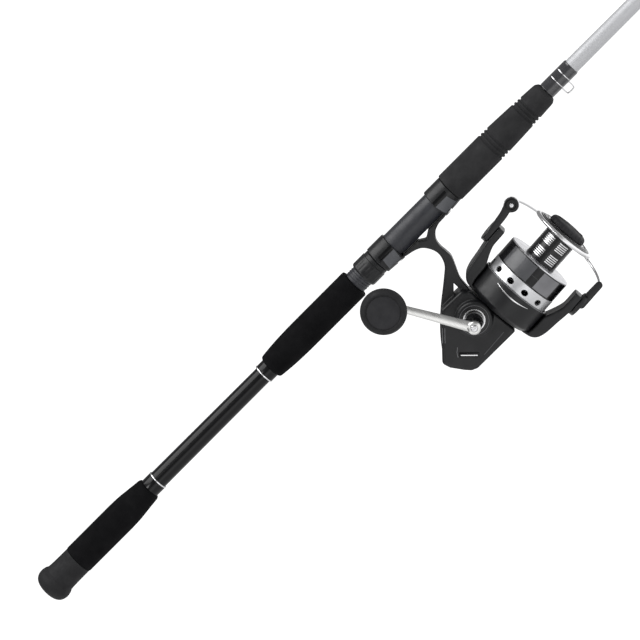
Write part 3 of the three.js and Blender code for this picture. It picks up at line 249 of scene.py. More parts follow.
def apply_all(piece):
    """Bakes a piece's modifiers into its mesh."""
    graph = bpy.context.evaluated_depsgraph_get()
    baked = bpy.data.meshes.new_from_object(piece.evaluated_get(graph))
    piece.modifiers.clear()
    piece.data = baked
    return piece


# %% [markdown]
# ### The lathe
# Most of a rod and reel is round. A profile of stations and radii is spun about an axis, and
# its corners are rounded first, as a cutting tool's nose would leave them.

# %% Helper: the lathe
def turned(name, profile, place=ROD, sides=96):
    """Spins [station, radius] points, in millimetres, about the local X axis."""
    closed = profile[0] == profile[-1]
    points = profile[:-1] if closed else profile
    vertices, rings = [], []
    for station, radius in points:
        if radius < 1e-6:
            rings.append([len(vertices)] * sides)
            vertices.append((station, 0, 0))
            continue
        rings.append(list(range(len(vertices), len(vertices) + sides)))
        for i in range(sides):
            angle = 2 * math.pi * i / sides
            vertices.append((station, radius * math.cos(angle), radius * math.sin(angle)))
    faces = []
    pairs = list(zip(rings, rings[1:])) + ([(rings[-1], rings[0])] if closed else [])
    for low, high in pairs:
        for i in range(sides):
            j = (i + 1) % sides
            corners = [low[i], low[j], high[j], high[i]]
            face = list(dict.fromkeys(corners))
            if len(face) > 2:
                faces.append(face)
    return new_piece(name, vertices, faces, place)


def rounded(points, radius=0.5, steps=3):
    """Rounds the corners of a profile, as a tool with a nose radius leaves them."""
    result = [tuple(points[0])]
    for before, corner, after in zip(points, points[1:], points[2:]):
        b, c, a = Vector(before), Vector(corner), Vector(after)
        cut = min(radius, (b - c).length / 2.01, (a - c).length / 2.01)
        start = c + (b - c).normalized() * cut
        end = c + (a - c).normalized() * cut
        for i in range(steps + 1):
            t = i / steps
            point = start * (1 - t) ** 2 + c * 2 * t * (1 - t) + end * t * t
            result.append((point.x, point.y))
    result.append(tuple(points[-1]))
    return result


def flowing(points, steps=6):
    """A smooth curve through points, for profiles and paths of any dimension."""
    points = [Vector(p) for p in points]
    padded = [points[0] * 2 - points[1], *points, points[-1] * 2 - points[-2]]
    result = []
    for p0, p1, p2, p3 in zip(padded, padded[1:], padded[2:], padded[3:]):
        for i in range(steps):
            t = i / steps
            spot = p1 * 2 + (p2 - p0) * t + (p0 * 2 - p1 * 5 + p2 * 4 - p3) * t**2
            result.append(tuple((spot + (p1 * 3 - p0 - p2 * 3 + p3) * t**3) / 2))
    return [*result, tuple(points[-1])]


# %% [markdown]
# ### Bent wire
# A wire is a circle carried along a path. The circle's frame is passed on from point to point,
# so that the wire doesn't twist, and it may change radius or be flattened on the way.

# %% Helper: bent wire
def swept(name, path, radii, place=ROD, sides=20, flat=1.0):
    """A round section along a path; radii is one number or one for each point."""
    path = [Vector(p) for p in path]
    if not isinstance(radii, (list, tuple)):
        radii = [radii] * len(path)
    tangents = []
    for i in range(len(path)):
        ahead, behind = path[min(i + 1, len(path) - 1)], path[max(i - 1, 0)]
        tangents.append((ahead - behind).normalized())
    guide = Vector((0, 1, 0)) if abs(tangents[0].y) < 0.9 else Vector((1, 0, 0))
    normal = (guide - tangents[0] * guide.dot(tangents[0])).normalized()
    vertices, faces = [], []
    for point, tangent, radius in zip(path, tangents, radii):
        normal = (normal - tangent * normal.dot(tangent)).normalized()
        other = tangent.cross(normal)
        for i in range(sides):
            angle = 2 * math.pi * i / sides
            offset = normal * math.cos(angle) * radius * flat + other * math.sin(angle) * radius
            vertices.append(point + offset)
    for ring in range(len(path) - 1):
        for i in range(sides):
            j = (i + 1) % sides
            a, b = ring * sides, (ring + 1) * sides
            faces.append([a + i, a + j, b + j, b + i])
    faces.append(list(range(sides)))
    faces.append(list(range((len(path) - 1) * sides, len(path) * sides)))
    return new_piece(name, vertices, faces, place)


# %% [markdown]
# ### Plates
# A plate is an outline in X and Z with a thickness in Y. Its edges are rolled over in a few
# steps, because a sharp edge catches no light and looks like paper.

# %% Helper: cut and rounded plate
def plate(name, outline, low, high, place=ROD, round_by=0.8, steps=3):
    """An outline in local X and Z, extruded in Y and rounded along its edges."""
    count = len(outline)
    vertices = [(x, low, z) for x, z in outline] + [(x, high, z) for x, z in outline]
    faces = [list(range(count)), list(range(count, 2 * count))]
    for i in range(count):
        j = (i + 1) % count
        faces.append([i, j, count + j, count + i])
    piece = new_piece(name, vertices, faces, place)
    if round_by:
        bevel = piece.modifiers.new("round", "BEVEL")
        bevel.width = round_by * MM
        bevel.segments = steps
        bevel.limit_method = "ANGLE"
        bevel.angle_limit = math.radians(50)
        apply_all(piece)
        soften(piece)
    return piece


def bar_outline(start, r0, end, r1, steps=14):
    """The outline of a tapered bar with round ends."""
    (x0, z0), (x1, z1) = start, end
    heading = math.atan2(z1 - z0, x1 - x0)
    tip = math.acos((r0 - r1) / math.hypot(x1 - x0, z1 - z0))
    points = []
    for i in range(steps + 1):
        angle = heading + tip + (2 * math.pi - 2 * tip) * i / steps
        points.append((x0 + r0 * math.cos(angle), z0 + r0 * math.sin(angle)))
    for i in range(steps + 1):
        angle = heading - tip + 2 * tip * i / steps
        points.append((x1 + r1 * math.cos(angle), z1 + r1 * math.sin(angle)))
    return points


# %% [markdown]
# ### Joining and cutting
# A casting has no seams, so its parts are joined and then melted together, which leaves a
# fillet where they meet. Holes are cut after that, so that their rims stay crisp.

# %% Helper: join, melt and cut
def joined(name, pieces):
    """Several meshes as one object, in the first one's frame."""
    bpy.ops.object.select_all(action="DESELECT")
    for piece in pieces:
        piece.select_set(True)
    bpy.context.view_layer.objects.active = pieces[0]
    bpy.ops.object.join()
    pieces[0].name = name
    return pieces[0]


def cast(name, pieces, grain=0.7, relax=4, sharp=math.radians(60)):
    """Melts overlapping pieces into one moulded skin with small fillets."""
    whole = joined(name, pieces)
    remesh = whole.modifiers.new("melt", "REMESH")
    remesh.mode = "VOXEL"
    remesh.voxel_size = grain * MM
    ease = whole.modifiers.new("ease", "SMOOTH")
    ease.factor = 0.5
    ease.iterations = relax
    apply_all(whole)
    soften(whole, sharp)
    return whole


def cut_away(piece, tool):
    """Takes one solid out of another and removes the tool."""
    boolean = piece.modifiers.new("cut", "BOOLEAN")
    boolean.operation = "DIFFERENCE"
    boolean.solver = "EXACT"
    boolean.object = tool
    apply_all(piece)
    bpy.data.objects.remove(tool)
    soften(piece)
    return piece


print("helpers ready")

# %% [markdown]
# ## Materials
# The object is nearly all black, so its finishes differ by how they scatter light. Foam
# is full of small cells and hardly shines. Moulded graphite plastic has a fine grain and
# a satin shine. Lacquer is deep and glossy. Each material below is one recipe: a colour
# that drifts a little from place to place, a roughness broken up by noise, and one or two
# bumps. Last, some finishes are made lighter in patches along edges and creases.

# %% Helper: the material recipe
materials = {}


def ramp(nodes, links, source, low, high, out_low, out_high):
    """Maps a texture's value from one range to another."""
    node = nodes.new("ShaderNodeMapRange")
    node.inputs["From Min"].default_value = low
    node.inputs["From Max"].default_value = high
    node.inputs["To Min"].default_value = out_low
    node.inputs["To Max"].default_value = out_high
    links.new(source, node.inputs["Value"])
    return node.outputs["Result"]


def noise(nodes, links, where, scale, detail=3.0, stretch=(1, 1, 1)):
    """Procedural noise in the piece's own space."""
    mapping = nodes.new("ShaderNodeMapping")
    mapping.inputs["Scale"].default_value = stretch
    links.new(where, mapping.inputs["Vector"])
    node = nodes.new("ShaderNodeTexNoise")
    node.inputs["Scale"].default_value = scale
    node.inputs["Detail"].default_value = detail
    links.new(mapping.outputs["Vector"], node.inputs["Vector"])
    return node.outputs[0]


def finish_of(name, colour, rough, metal=0.0, grain=1500, grain_depth=0.02, drift=0.18,
              coat=0.0, coat_rough=0.05, sheen=0.0, stretch=(1, 1, 1), cells=None,
              edge_colour=None, specular=0.5):
    """One finish: drifting colour, broken-up roughness, grain, and edges lighter in patches."""
    material = bpy.data.materials.new(name)
    material.use_nodes = True
    nodes, links = material.node_tree.nodes, material.node_tree.links
    shader = nodes["Principled BSDF"]
    where = nodes.new("ShaderNodeTexCoord").outputs["Object"]
    shader.inputs["Metallic"].default_value = metal
    shader.inputs["Coat Weight"].default_value = coat
    shader.inputs["Coat Roughness"].default_value = coat_rough
    shader.inputs["Sheen Weight"].default_value = sheen
    shader.inputs["Sheen Roughness"].default_value = 0.5
    shader.inputs["Specular IOR Level"].default_value = specular

    patches = noise(nodes, links, where, 55, 4)
    brightness = ramp(nodes, links, patches, 0.3, 0.7, 1 - drift, 1 + drift)
    tint = nodes.new("ShaderNodeMix")
    tint.data_type = "RGBA"
    tint.blend_type = "MULTIPLY"
    tint.inputs["Factor"].default_value = 1.0
    tint.inputs["A"].default_value = (*colour, 1)
    links.new(brightness, tint.inputs["B"])
    shade = tint.outputs["Result"]

    # Edges and creases, found where a bevel normal parts from the true normal, are made lighter in patches.
    if edge_colour:
        edge = nodes.new("ShaderNodeBevel")
        edge.samples = 4
        edge.inputs["Radius"].default_value = 0.35 * MM
        geometry = nodes.new("ShaderNodeNewGeometry")
        bend = nodes.new("ShaderNodeVectorMath")
        bend.operation = "DISTANCE"
        links.new(edge.outputs["Normal"], bend.inputs[0])
        links.new(geometry.outputs["Normal"], bend.inputs[1])
        edge_mask = ramp(nodes, links, bend.outputs["Value"], 0.15, 0.7, 0.0, 0.7)
        spots = ramp(nodes, links, noise(nodes, links, where, 260, 5), 0.45, 0.62, 0, 1)
        both = nodes.new("ShaderNodeMath")
        both.operation = "MULTIPLY"
        links.new(edge_mask, both.inputs[0])
        links.new(spots, both.inputs[1])
        edge_mix = nodes.new("ShaderNodeMix")
        edge_mix.data_type = "RGBA"
        edge_mix.inputs["B"].default_value = (*edge_colour, 1)
        links.new(both.outputs["Value"], edge_mix.inputs["Factor"])
        links.new(shade, edge_mix.inputs["A"])
        shade = edge_mix.outputs["Result"]
    links.new(shade, shader.inputs["Base Color"])

    smudges = noise(nodes, links, where, 120, 5, stretch)
    links.new(ramp(nodes, links, smudges, 0.3, 0.7, rough * 0.8, min(1.0, rough * 1.25)),
              shader.inputs["Roughness"])

    bump = nodes.new("ShaderNodeBump")
    bump.inputs["Strength"].default_value = 0.6
    bump.inputs["Distance"].default_value = grain_depth * MM
    links.new(noise(nodes, links, where, grain, 3, stretch), bump.inputs["Height"])
    if cells:
        pores = nodes.new("ShaderNodeTexVoronoi")
        pores.inputs["Scale"].default_value = cells
        links.new(where, pores.inputs["Vector"])
        pits = nodes.new("ShaderNodeBump")
        pits.inputs["Strength"].default_value = 0.7
        pits.inputs["Distance"].default_value = grain_depth * 2 * MM
        links.new(pores.outputs["Distance"], pits.inputs["Height"])
        links.new(bump.outputs["Normal"], pits.inputs["Normal"])
        bump = pits
    links.new(bump.outputs["Normal"], shader.inputs["Normal"])
    materials[name] = material
    return material


# %% [markdown]
# ### The finishes themselves
# The numbers are what each surface would be called in the trade: closed-cell foam,
# moulded rubber, satin graphite, deep gloss lacquer, silver lacquer, polished wire,
# turned aluminium and so on. Turned metal has its grain stretched round
# the axis, which is why its noise is squeezed along X.

# %% Finishes
TURNED = (9, 0.6, 0.6)
finish_of("foam", (0.004, 0.004, 0.0045), 0.92, cells=1500, grain_depth=0.05, specular=0.08)
# The same foam as on the rear grips, made lighter for the fore grip: painted light, for how brightly it is lit.
finish_of("foam_painted_lighter", (0.019, 0.019, 0.02), 0.9, cells=1500, grain_depth=0.05, specular=0.25)
finish_of("rubber", (0.012, 0.012, 0.013), 0.7, grain=2200, grain_depth=0.03, specular=0.25,
          edge_colour=(0.05, 0.05, 0.05))
finish_of("knob_rubber", (0.014, 0.014, 0.016), 0.62, cells=900, grain_depth=0.035,
          specular=0.3)
finish_of("gloss", (0.003, 0.003, 0.0035), 0.2, grain=400, grain_depth=0.003, drift=0.06,
          coat=0.2, coat_rough=0.1, specular=0.16)
finish_of("silver_lacquer", (0.44, 0.445, 0.46), 0.5, metal=0.2, coat=0.2, coat_rough=0.3,
          grain=160, grain_depth=0.0004, drift=0.02)
finish_of("seat_plastic", (0.02, 0.021, 0.026), 0.4, grain=1800, grain_depth=0.01,
          edge_colour=(0.07, 0.07, 0.08), specular=0.45)
finish_of("graphite", (0.007, 0.0072, 0.0082), 0.36, grain=2600, grain_depth=0.016,
          edge_colour=(0.035, 0.035, 0.036), specular=0.36)
# A pale grey copy of the graphite, laid on the hoods' lips as a painted highlight.
finish_of("hood_painted_highlight", (0.075, 0.078, 0.086), 0.4, grain=1800, grain_depth=0.012)
finish_of("thread", (0.022, 0.022, 0.026), 0.35, coat=0.8, grain=900, grain_depth=0.02,
          stretch=(6, 0.4, 0.4))
finish_of("steel", (0.62, 0.62, 0.63), 0.22, metal=1.0, grain=700, grain_depth=0.004,
          drift=0.06)
finish_of("aluminium", (0.66, 0.66, 0.65), 0.3, metal=1.0, grain=900, grain_depth=0.01,
          stretch=TURNED, drift=0.06)
finish_of("bright_ring", (0.74, 0.74, 0.75), 0.26, metal=1.0, grain=800, grain_depth=0.006,
          stretch=TURNED, drift=0.04)
finish_of("ceramic", (0.05, 0.052, 0.06), 0.12, coat=0.6, grain=900, grain_depth=0.004)
finish_of("brass", (0.6, 0.42, 0.18), 0.3, metal=1.0, grain=900, grain_depth=0.01)
finish_of("spool_metal", (0.62, 0.62, 0.64), 0.34, metal=1.0, grain=900, grain_depth=0.01,
          stretch=TURNED, drift=0.05)
finish_of("spool_black", (0.006, 0.006, 0.007), 0.28, grain=900, grain_depth=0.006,
          stretch=TURNED, specular=0.45)
finish_of("pearl_band", (0.6, 0.605, 0.62), 0.34, metal=0.7, coat=0.4, grain=3000,
          grain_depth=0.004, drift=0.03)
# Grey: print on some parts, and painted highlight and painted reflection on others.
finish_of("grey_ink_and_painted_light", (0.15, 0.15, 0.16), 0.35, coat=0.3, grain=1500, grain_depth=0.005)
# Charcoal: painted highlight and painted reflection, lighter than the black it lies on.
finish_of("charcoal_painted_light", (0.05, 0.051, 0.056), 0.35, coat=0.3, grain=1500, grain_depth=0.005)
finish_of("felt", (0.12, 0.11, 0.1), 0.95, grain=1200, grain_depth=0.08, sheen=0.4)
print(len(materials), "finishes")


def paint(piece, material, body="root", slot=None, *nodes):
    """Gives a piece its finish and its body, and hides the CAD nodes it stands for."""
    piece.data.materials.clear()
    piece.data.materials.append(materials[material])
    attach(piece, body)
    if nodes:
        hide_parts(*nodes)
    return piece

# %% [markdown]
# ## The rod's handle
# The handle is a stack of sleeves slid over the blank and glued: a rubber butt cap, a
# short foam grip, a bare stretch of black blank between two thin silver rings, and a
# second foam grip that narrows towards the butt. Foam is ground to shape, so every edge is
# a soft round; the lathe profile is therefore a smooth curve instead of straight steps.

# %% Butt cap and grips
low, high = span("butt_cap")
cap_curve = [(0, 4), (1.0, 10), (3.4, 14.2), (7, 16.5), (11.5, 17.2), (16, 16.4), (21, 14.9),
             (high, 14.5)]
cap = turned("butt_cap_skin", [(0, 0), *flowing(cap_curve), (high, 0)])
paint(cap, "rubber", "root", "rubber", "butt_cap")

low, high = span("butt_grip")
radius = reach("butt_grip")
taper = flowing([(high - 38, radius), (high - 26, radius - 0.5), (high - 12, radius - 2),
                 (high - 2, 12)])
butt_curve = rounded([(low, 9.6), (low, radius), *taper, (high, 11), (high, 9.6)], 1.0, 4)
paint(turned("butt_foam", butt_curve + [butt_curve[0]]), "foam", "root", "foam", "butt_grip")

low, high = span("rear_grip")
rear_curve = [(low, 11.0), (low + 1.5, 12.4), (low + 8, 13.2), (low + 21, 14.2), (low + 38, 14.75)]
rear_curve = flowing(rear_curve) + rounded([(low + 50, 14.8), (high, 14.8), (high, 9.6)], 1.6, 5)
paint(turned("rear_foam", [(low, 9.2), *rear_curve, (low, 9.2)]), "foam", "root", "foam",
      "rear_grip")
print("grips end at", round(high, 1), "mm")

# %% [markdown]
# ### Collars and silver rings
# Where foam ends, a glossy collar hides the glue line, and a narrow aluminium ring ends
# the collar. The two are one CAD piece each but two materials, so they are two skins.

# %% Collars
for name, node, ring_first in (("butt", "butt_collar", False), ("rear", "rear_collar", True)):
    low, high = span(node)
    ring_width = 1.2
    ring = (low, low + ring_width) if ring_first else (high - ring_width, high)
    band = (low + ring_width, high) if ring_first else (low, high - ring_width)
    body = rounded([(band[0], 9.45), (band[0], 9.85), (band[1], 9.85), (band[1], 9.45)], 0.3)
    paint(turned(name + "_collar_band", body + [body[0]]), "gloss", "root", "black_gloss", node)
    bright = rounded([(ring[0], 9.45), (ring[0], 10.25), (ring[1], 10.25), (ring[1], 9.45)], 0.3)
    paint(turned(name + "_collar_ring", bright + [bright[0]]), "bright_ring", "root", "steel")

# %% [markdown]
# ### The blank
# The blank is a tapering composite tube. It is lacquered gloss black inside the handle and
# silver ahead of it, with the change hidden under the thread winding. A real blank shows
# a faint spiral from the tape that held it in the oven; the lacquer here has only a fine noise bump.


# %% Blank
def blank_radius(station):
    """The blank's radius at a station, in millimetres."""
    change, tip = 692.4, 2134.0
    if station < change:
        return 9.5 - 2.0 * station / change
    return 7.5 - 6.0 * ((station - change) / (tip - change)) ** 1.15


low, high = span("blank")
change = 676.0
black_stations = [low + (change - low) * i / 12 for i in range(13)]
silver_stations = [change + (high - change) * (i / 40) for i in range(41)]
for name, stations, material in (("blank_black", black_stations, "gloss"),
                                 ("blank_silver", silver_stations, "silver_lacquer")):
    outside = [(x, blank_radius(x) - 0.02) for x in stations]
    skin = turned(name, [(stations[0], 0), *outside, (stations[-1], 0)], sides=64)
    paint(skin, material, "root", "blank_paint", "blank")
print("blank runs", round(low), "to", round(high), "mm")

# %% [markdown]
# ## The reel seat
# The seat is a moulded tube with a thread at its rear. A ribbed nut on the thread pushes
# a sliding hood forward over the reel's foot, and a fixed hood takes the foot's other end.
# A seat's thread is a real helix, so it is made by sweeping a small ridge round the tube.

# %% Seat tube and thread
seat_low, seat_high = span("reel_seat")
thread_end = span("rear_hood")[0] + 10
core = rounded([(seat_low, 9.4), (seat_low, 11.2), (thread_end, 11.2), (thread_end, 12.15),
                (seat_high, 12.15), (seat_high, 9.4)], 0.3)
paint(turned("seat_tube", core + [core[0]]), "seat_plastic", "root", "seat_plastic", "reel_seat")

PITCH = 2.5
ridge_path = []
turns = (thread_end - seat_low - 4) / PITCH
for i in range(int(turns * 36) + 1):
    angle = 2 * math.pi * i / 36
    fade = min(1.0, i / 12, (turns * 36 - i) / 12)
    r = 10.9 + 0.35 * fade
    ridge_path.append((seat_low + 2 + PITCH * i / 36, r * math.cos(angle), r * math.sin(angle)))
ridge = swept("seat_thread", ridge_path, 0.45, sides=8)
paint(ridge, "seat_plastic", "root", "seat_plastic")

# %% [markdown]
# ### The lock nut
# The nut has flats and grooves for wet fingers. Its skin is lofted from rings of
# points whose radius ripples round the tube, and ripples stop short of both ends.

# %% Lock nut
low, high = span("lock_nut")
nut_radius = reach("lock_nut")


def rippled(name, stations, bore, place=ROD, sides=144):
    """A tube whose outside ripples: (station, radius, depth, count) for each ring."""
    vertices, faces = [], []
    for station, radius, depth, count in stations:
        for i in range(sides):
            angle = 2 * math.pi * i / sides
            wave = 0.5 - 0.5 * math.cos(count * angle)
            r = radius - depth * wave**3
            vertices.append((station, r * math.cos(angle), r * math.sin(angle)))
    for station in (stations[-1][0], stations[0][0]):
        for i in range(sides):
            angle = 2 * math.pi * i / sides
            vertices.append((station, bore * math.cos(angle), bore * math.sin(angle)))
    rings = len(vertices) // sides
    for ring in range(rings):
        a, b = ring * sides, (ring + 1) % rings * sides
        for i in range(sides):
            j = (i + 1) % sides
            faces.append([a + i, a + j, b + j, b + i])
    return new_piece(name, vertices, faces, place)


r = nut_radius
nut_rings = [(low, r - 1, 0, 18), (low + 0.8, r - 0.2, 0, 18), (low + 2, r, 0, 18),
             (low + 3, r, 0.35, 18), (high - 8.5, r, 0.35, 18), (high - 7.5, r, 0, 18),
             (high - 4.4, r, 0, 18), (high - 4, r - 0.7, 0, 18), (high - 0.5, r - 0.7, 0, 18),
             (high, r - 1.1, 0, 18)]
nut = rippled("lock_nut_skin", nut_rings, 12.0)
paint(nut, "graphite", "nut", "graphite", "lock_nut")
print("nut ripples are cut", 0.35, "mm deep")

# %% [markdown]
# ### The hoods
# Each hood is a ring round the seat with a swollen lip on the reel's side that closes over
# the foot. It is melted together from a ring and a lip, and the pocket for the foot is cut
# out afterwards. A pale patch on the lip is a painted highlight, and a dark gloss strip
# beside it is painted shade in the crease.


# %% Hoods
def hood(name, node, mouth_forward, body):
    """Ring, lip and pocket of one hood, with a painted highlight on the lip and painted shade in its crease."""
    low, high = span(node)
    radius = reach(node)
    back_end, mouth = (low, high) if mouth_forward else (high, low)
    way = 1 if mouth_forward else -1
    ring = turned(name,
                  rounded([(low, 0), (low, radius - 0.3), (high, radius - 0.3), (high, 0)], 0.8, 4))
    lip_mesh = turned(name + "_lip",
                      [(low, 0), (low, radius - 1.9 if mouth_forward else radius - 0.4),
                                      (high, radius - 0.4 if mouth_forward else radius - 1.9),
                                      (high, 0)])
    lip_mesh.location.z -= 2.1 * MM
    bpy.context.view_layer.update()
    skin = cast(name + "_skin", [ring, lip_mesh], 0.45, 3)
    cut_away(skin,
             turned("bore", [(low - 2, 0), (low - 2, 12.35), (high + 2, 12.35), (high + 2, 0)]))
    pocket = sorted((mouth - way * 8.4, mouth + way * 2))
    half = 7.3
    cut_away(skin,
             plate("pocket",
                   [(pocket[0], -15.5), (pocket[1], -15.5), (pocket[1], 0), (pocket[0], 0)],
                         -half, half, round_by=0))
    paint(skin, "graphite", body, "graphite", node)

    def patch(label, first, last, angle_low, angle_high, lift, material, steps=14, slant=0.0):
        """A thin shell laid on the hood between two stations and two angles."""
        vertices, faces = [], []
        for depth in (0.0, -0.5):
            for s in range(9):
                for k in range(steps + 1):
                    share = k / steps
                    angle = math.radians(angle_low + (angle_high - angle_low) * share)
                    x = first + (last - first) * s / 8 + slant * (share - 0.5)
                    along_lip = (x - back_end) / (mouth - back_end)
                    lip_radius = radius - 1.9 + 1.5 * along_lip
                    y, z = math.sin(angle), -math.cos(angle)
                    on_ring = radius - 0.3
                    b = -z * 2.1
                    on_lip = b + math.sqrt(max(lip_radius**2 - 2.1**2 + b * b, 0))
                    r = max(on_ring, on_lip) + lift + depth
                    vertices.append((x, r * y, r * z))
        row, layer = steps + 1, 9 * (steps + 1)
        for s in range(8):
            for k in range(steps):
                a = s * row + k
                faces.append([a, a + 1, a + row + 1, a + row])
                faces.append([layer + a, layer + a + row, layer + a + row + 1, layer + a + 1])
        border = [k for k in range(row)] + [s * row + steps for s in range(1, 9)]
        border += [8 * row + k for k in range(steps - 1, -1, -1)] + [s * row for s in range(7, 0,
                                                                                            -1)]
        for p, q in zip(border, border[1:] + border[:1]):
            faces.append([p, layer + p, layer + q, q])
        shell = new_piece(name + label, vertices, faces)
        paint(shell, material, body, "graphite")

    inner, outer = sorted((back_end + way * 4.5, mouth - way * 1.2))
    # The pale patches are a painted highlight on the lip, and the dark gloss strips beside them are painted shade
    # in the crease.
    patch("_painted_highlight", inner, outer, -83, -34, 0.12, "hood_painted_highlight", slant=-2.0 * way)
    patch("_painted_highlight_far", inner, outer, 34, 83, 0.12, "hood_painted_highlight", slant=2.0 * way)
    patch("_painted_crease_shade", inner - 1, outer + 0.8, -104, -86, 0.08, "gloss", slant=-1.5)
    patch("_painted_crease_shade_far", inner - 1, outer + 0.8, 86, 104, 0.08, "gloss", slant=1.5)


hood("rear_hood", "rear_hood", True, "hood")
hood("front_hood", "front_hood", False, "root")

# %% [markdown]
# ## Fore grip, winding and hook keeper
# Ahead of the seat the foam grip is ground with two groups of three finger grooves and
# then tapers to the blank. The winding is nylon thread laid side by side and soaked in
# clear lacquer, which keeps every turn of thread faintly visible. Two turns are metallic.

# %% Fore grip
low, high = span("fore_grip")
radius = 15.15


def fore_radius(x):
    """Grip radius: level first, then tapering to the nose."""
    share = min(1, max(0, (x - low - 53) / (high - 5 - low - 53)))
    return radius - (radius - 12) * share**1.4


fore_curve = rounded([(low, 9.2), (low, radius), (low + 50, radius)], 1.4, 5)
for start in (53, 94.5):
    for i in range(3):
        x = low + start + 4 * i
        for dx, drop in ((-0.7, 0), (-0.1, 0.35), (0.3, 1.15), (1.0, 1.4), (1.7, 1.15), (2.1, 0.35),
                         (2.7, 0)):
            fore_curve.append((x + dx, fore_radius(x + dx) - drop))
fore_curve += [(high - 6, 12.1), (high - 3.5, 11.7), (high - 1, 10), (high - 0.2, 8.7),
               (high - 0.2, 8.2)]
fore_curve.append(fore_curve[0])
paint(turned("fore_foam", fore_curve), "foam_painted_lighter", "root", "foam", "fore_grip")

# %% [markdown]
# ### The winding
# Thread is wound over the step between grip and blank, then lacquered. Every turn of thread is
# a low ridge in the profile, and two turns are of metallic thread.

# %% Winding and its metallic turns
low, high = span("fore_winding")
wind = [(low, 7.7), (low + 0.5, 8.4)]
turns = int((high - low - 2) / 0.45)
for i in range(turns):
    x = low + 0.8 + 0.45 * i
    wind += [(x, 8.36), (x + 0.22, 8.47)]
wind += [(high - 0.3, 8.1), (high, 7.7), (low, 7.7)]
paint(turned("fore_thread", wind, sides=72), "thread", "root", "thread", "fore_winding")
for number, start in enumerate((12.6, 21.6), 1):
    x = low + start
    trim = [(x, 8.1), (x, 8.5), (x + 0.3, 8.56), (x + 0.7, 8.5), (x + 0.7, 8.1), (x, 8.1)]
    paint(turned(f"silver_turn_{number}", trim, sides=72), "bright_ring", "root", "steel")

# %% [markdown]
# ### The hook keeper
# A small wire loop under the winding parks the hook. Its two legs run into the winding.

# %% Hook keeper
node_low, node_high = (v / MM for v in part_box("hook_keeper"))
middle = (node_low.x + node_high.x) / 2
half = (node_high.x - node_low.x) / 2 - 0.8
bottom = node_low.z + 0.8
loop = [(middle - half, 0, -8.2), (middle - half, 0, bottom + 1.6),
        (middle - half + 1.2, 0, bottom + 0.2),
        (middle, 0, bottom), (middle + half - 1.2, 0, bottom + 0.2),
        (middle + half, 0, bottom + 1.6),
        (middle + half, 0, -8.2)]
paint(swept("hook_loop", flowing(loop, 5), 0.75), "steel", "root", "steel", "hook_keeper")
print("rod pieces made")

# %% [markdown]
# ## Line guides and tip
# Five guides and a tip ring carry the line. A guide is stamped from steel and bent: an
# oval frame on two long legs behind and two short ones in front, each pair ending in a
# flat foot. The foot is tied down with thread and lacquered, and a hard polished ceramic
# ring is pressed into the frame so that the line cannot wear it.

# %% Guides
LEG_ANGLES = {-1: 32, 1: 55}


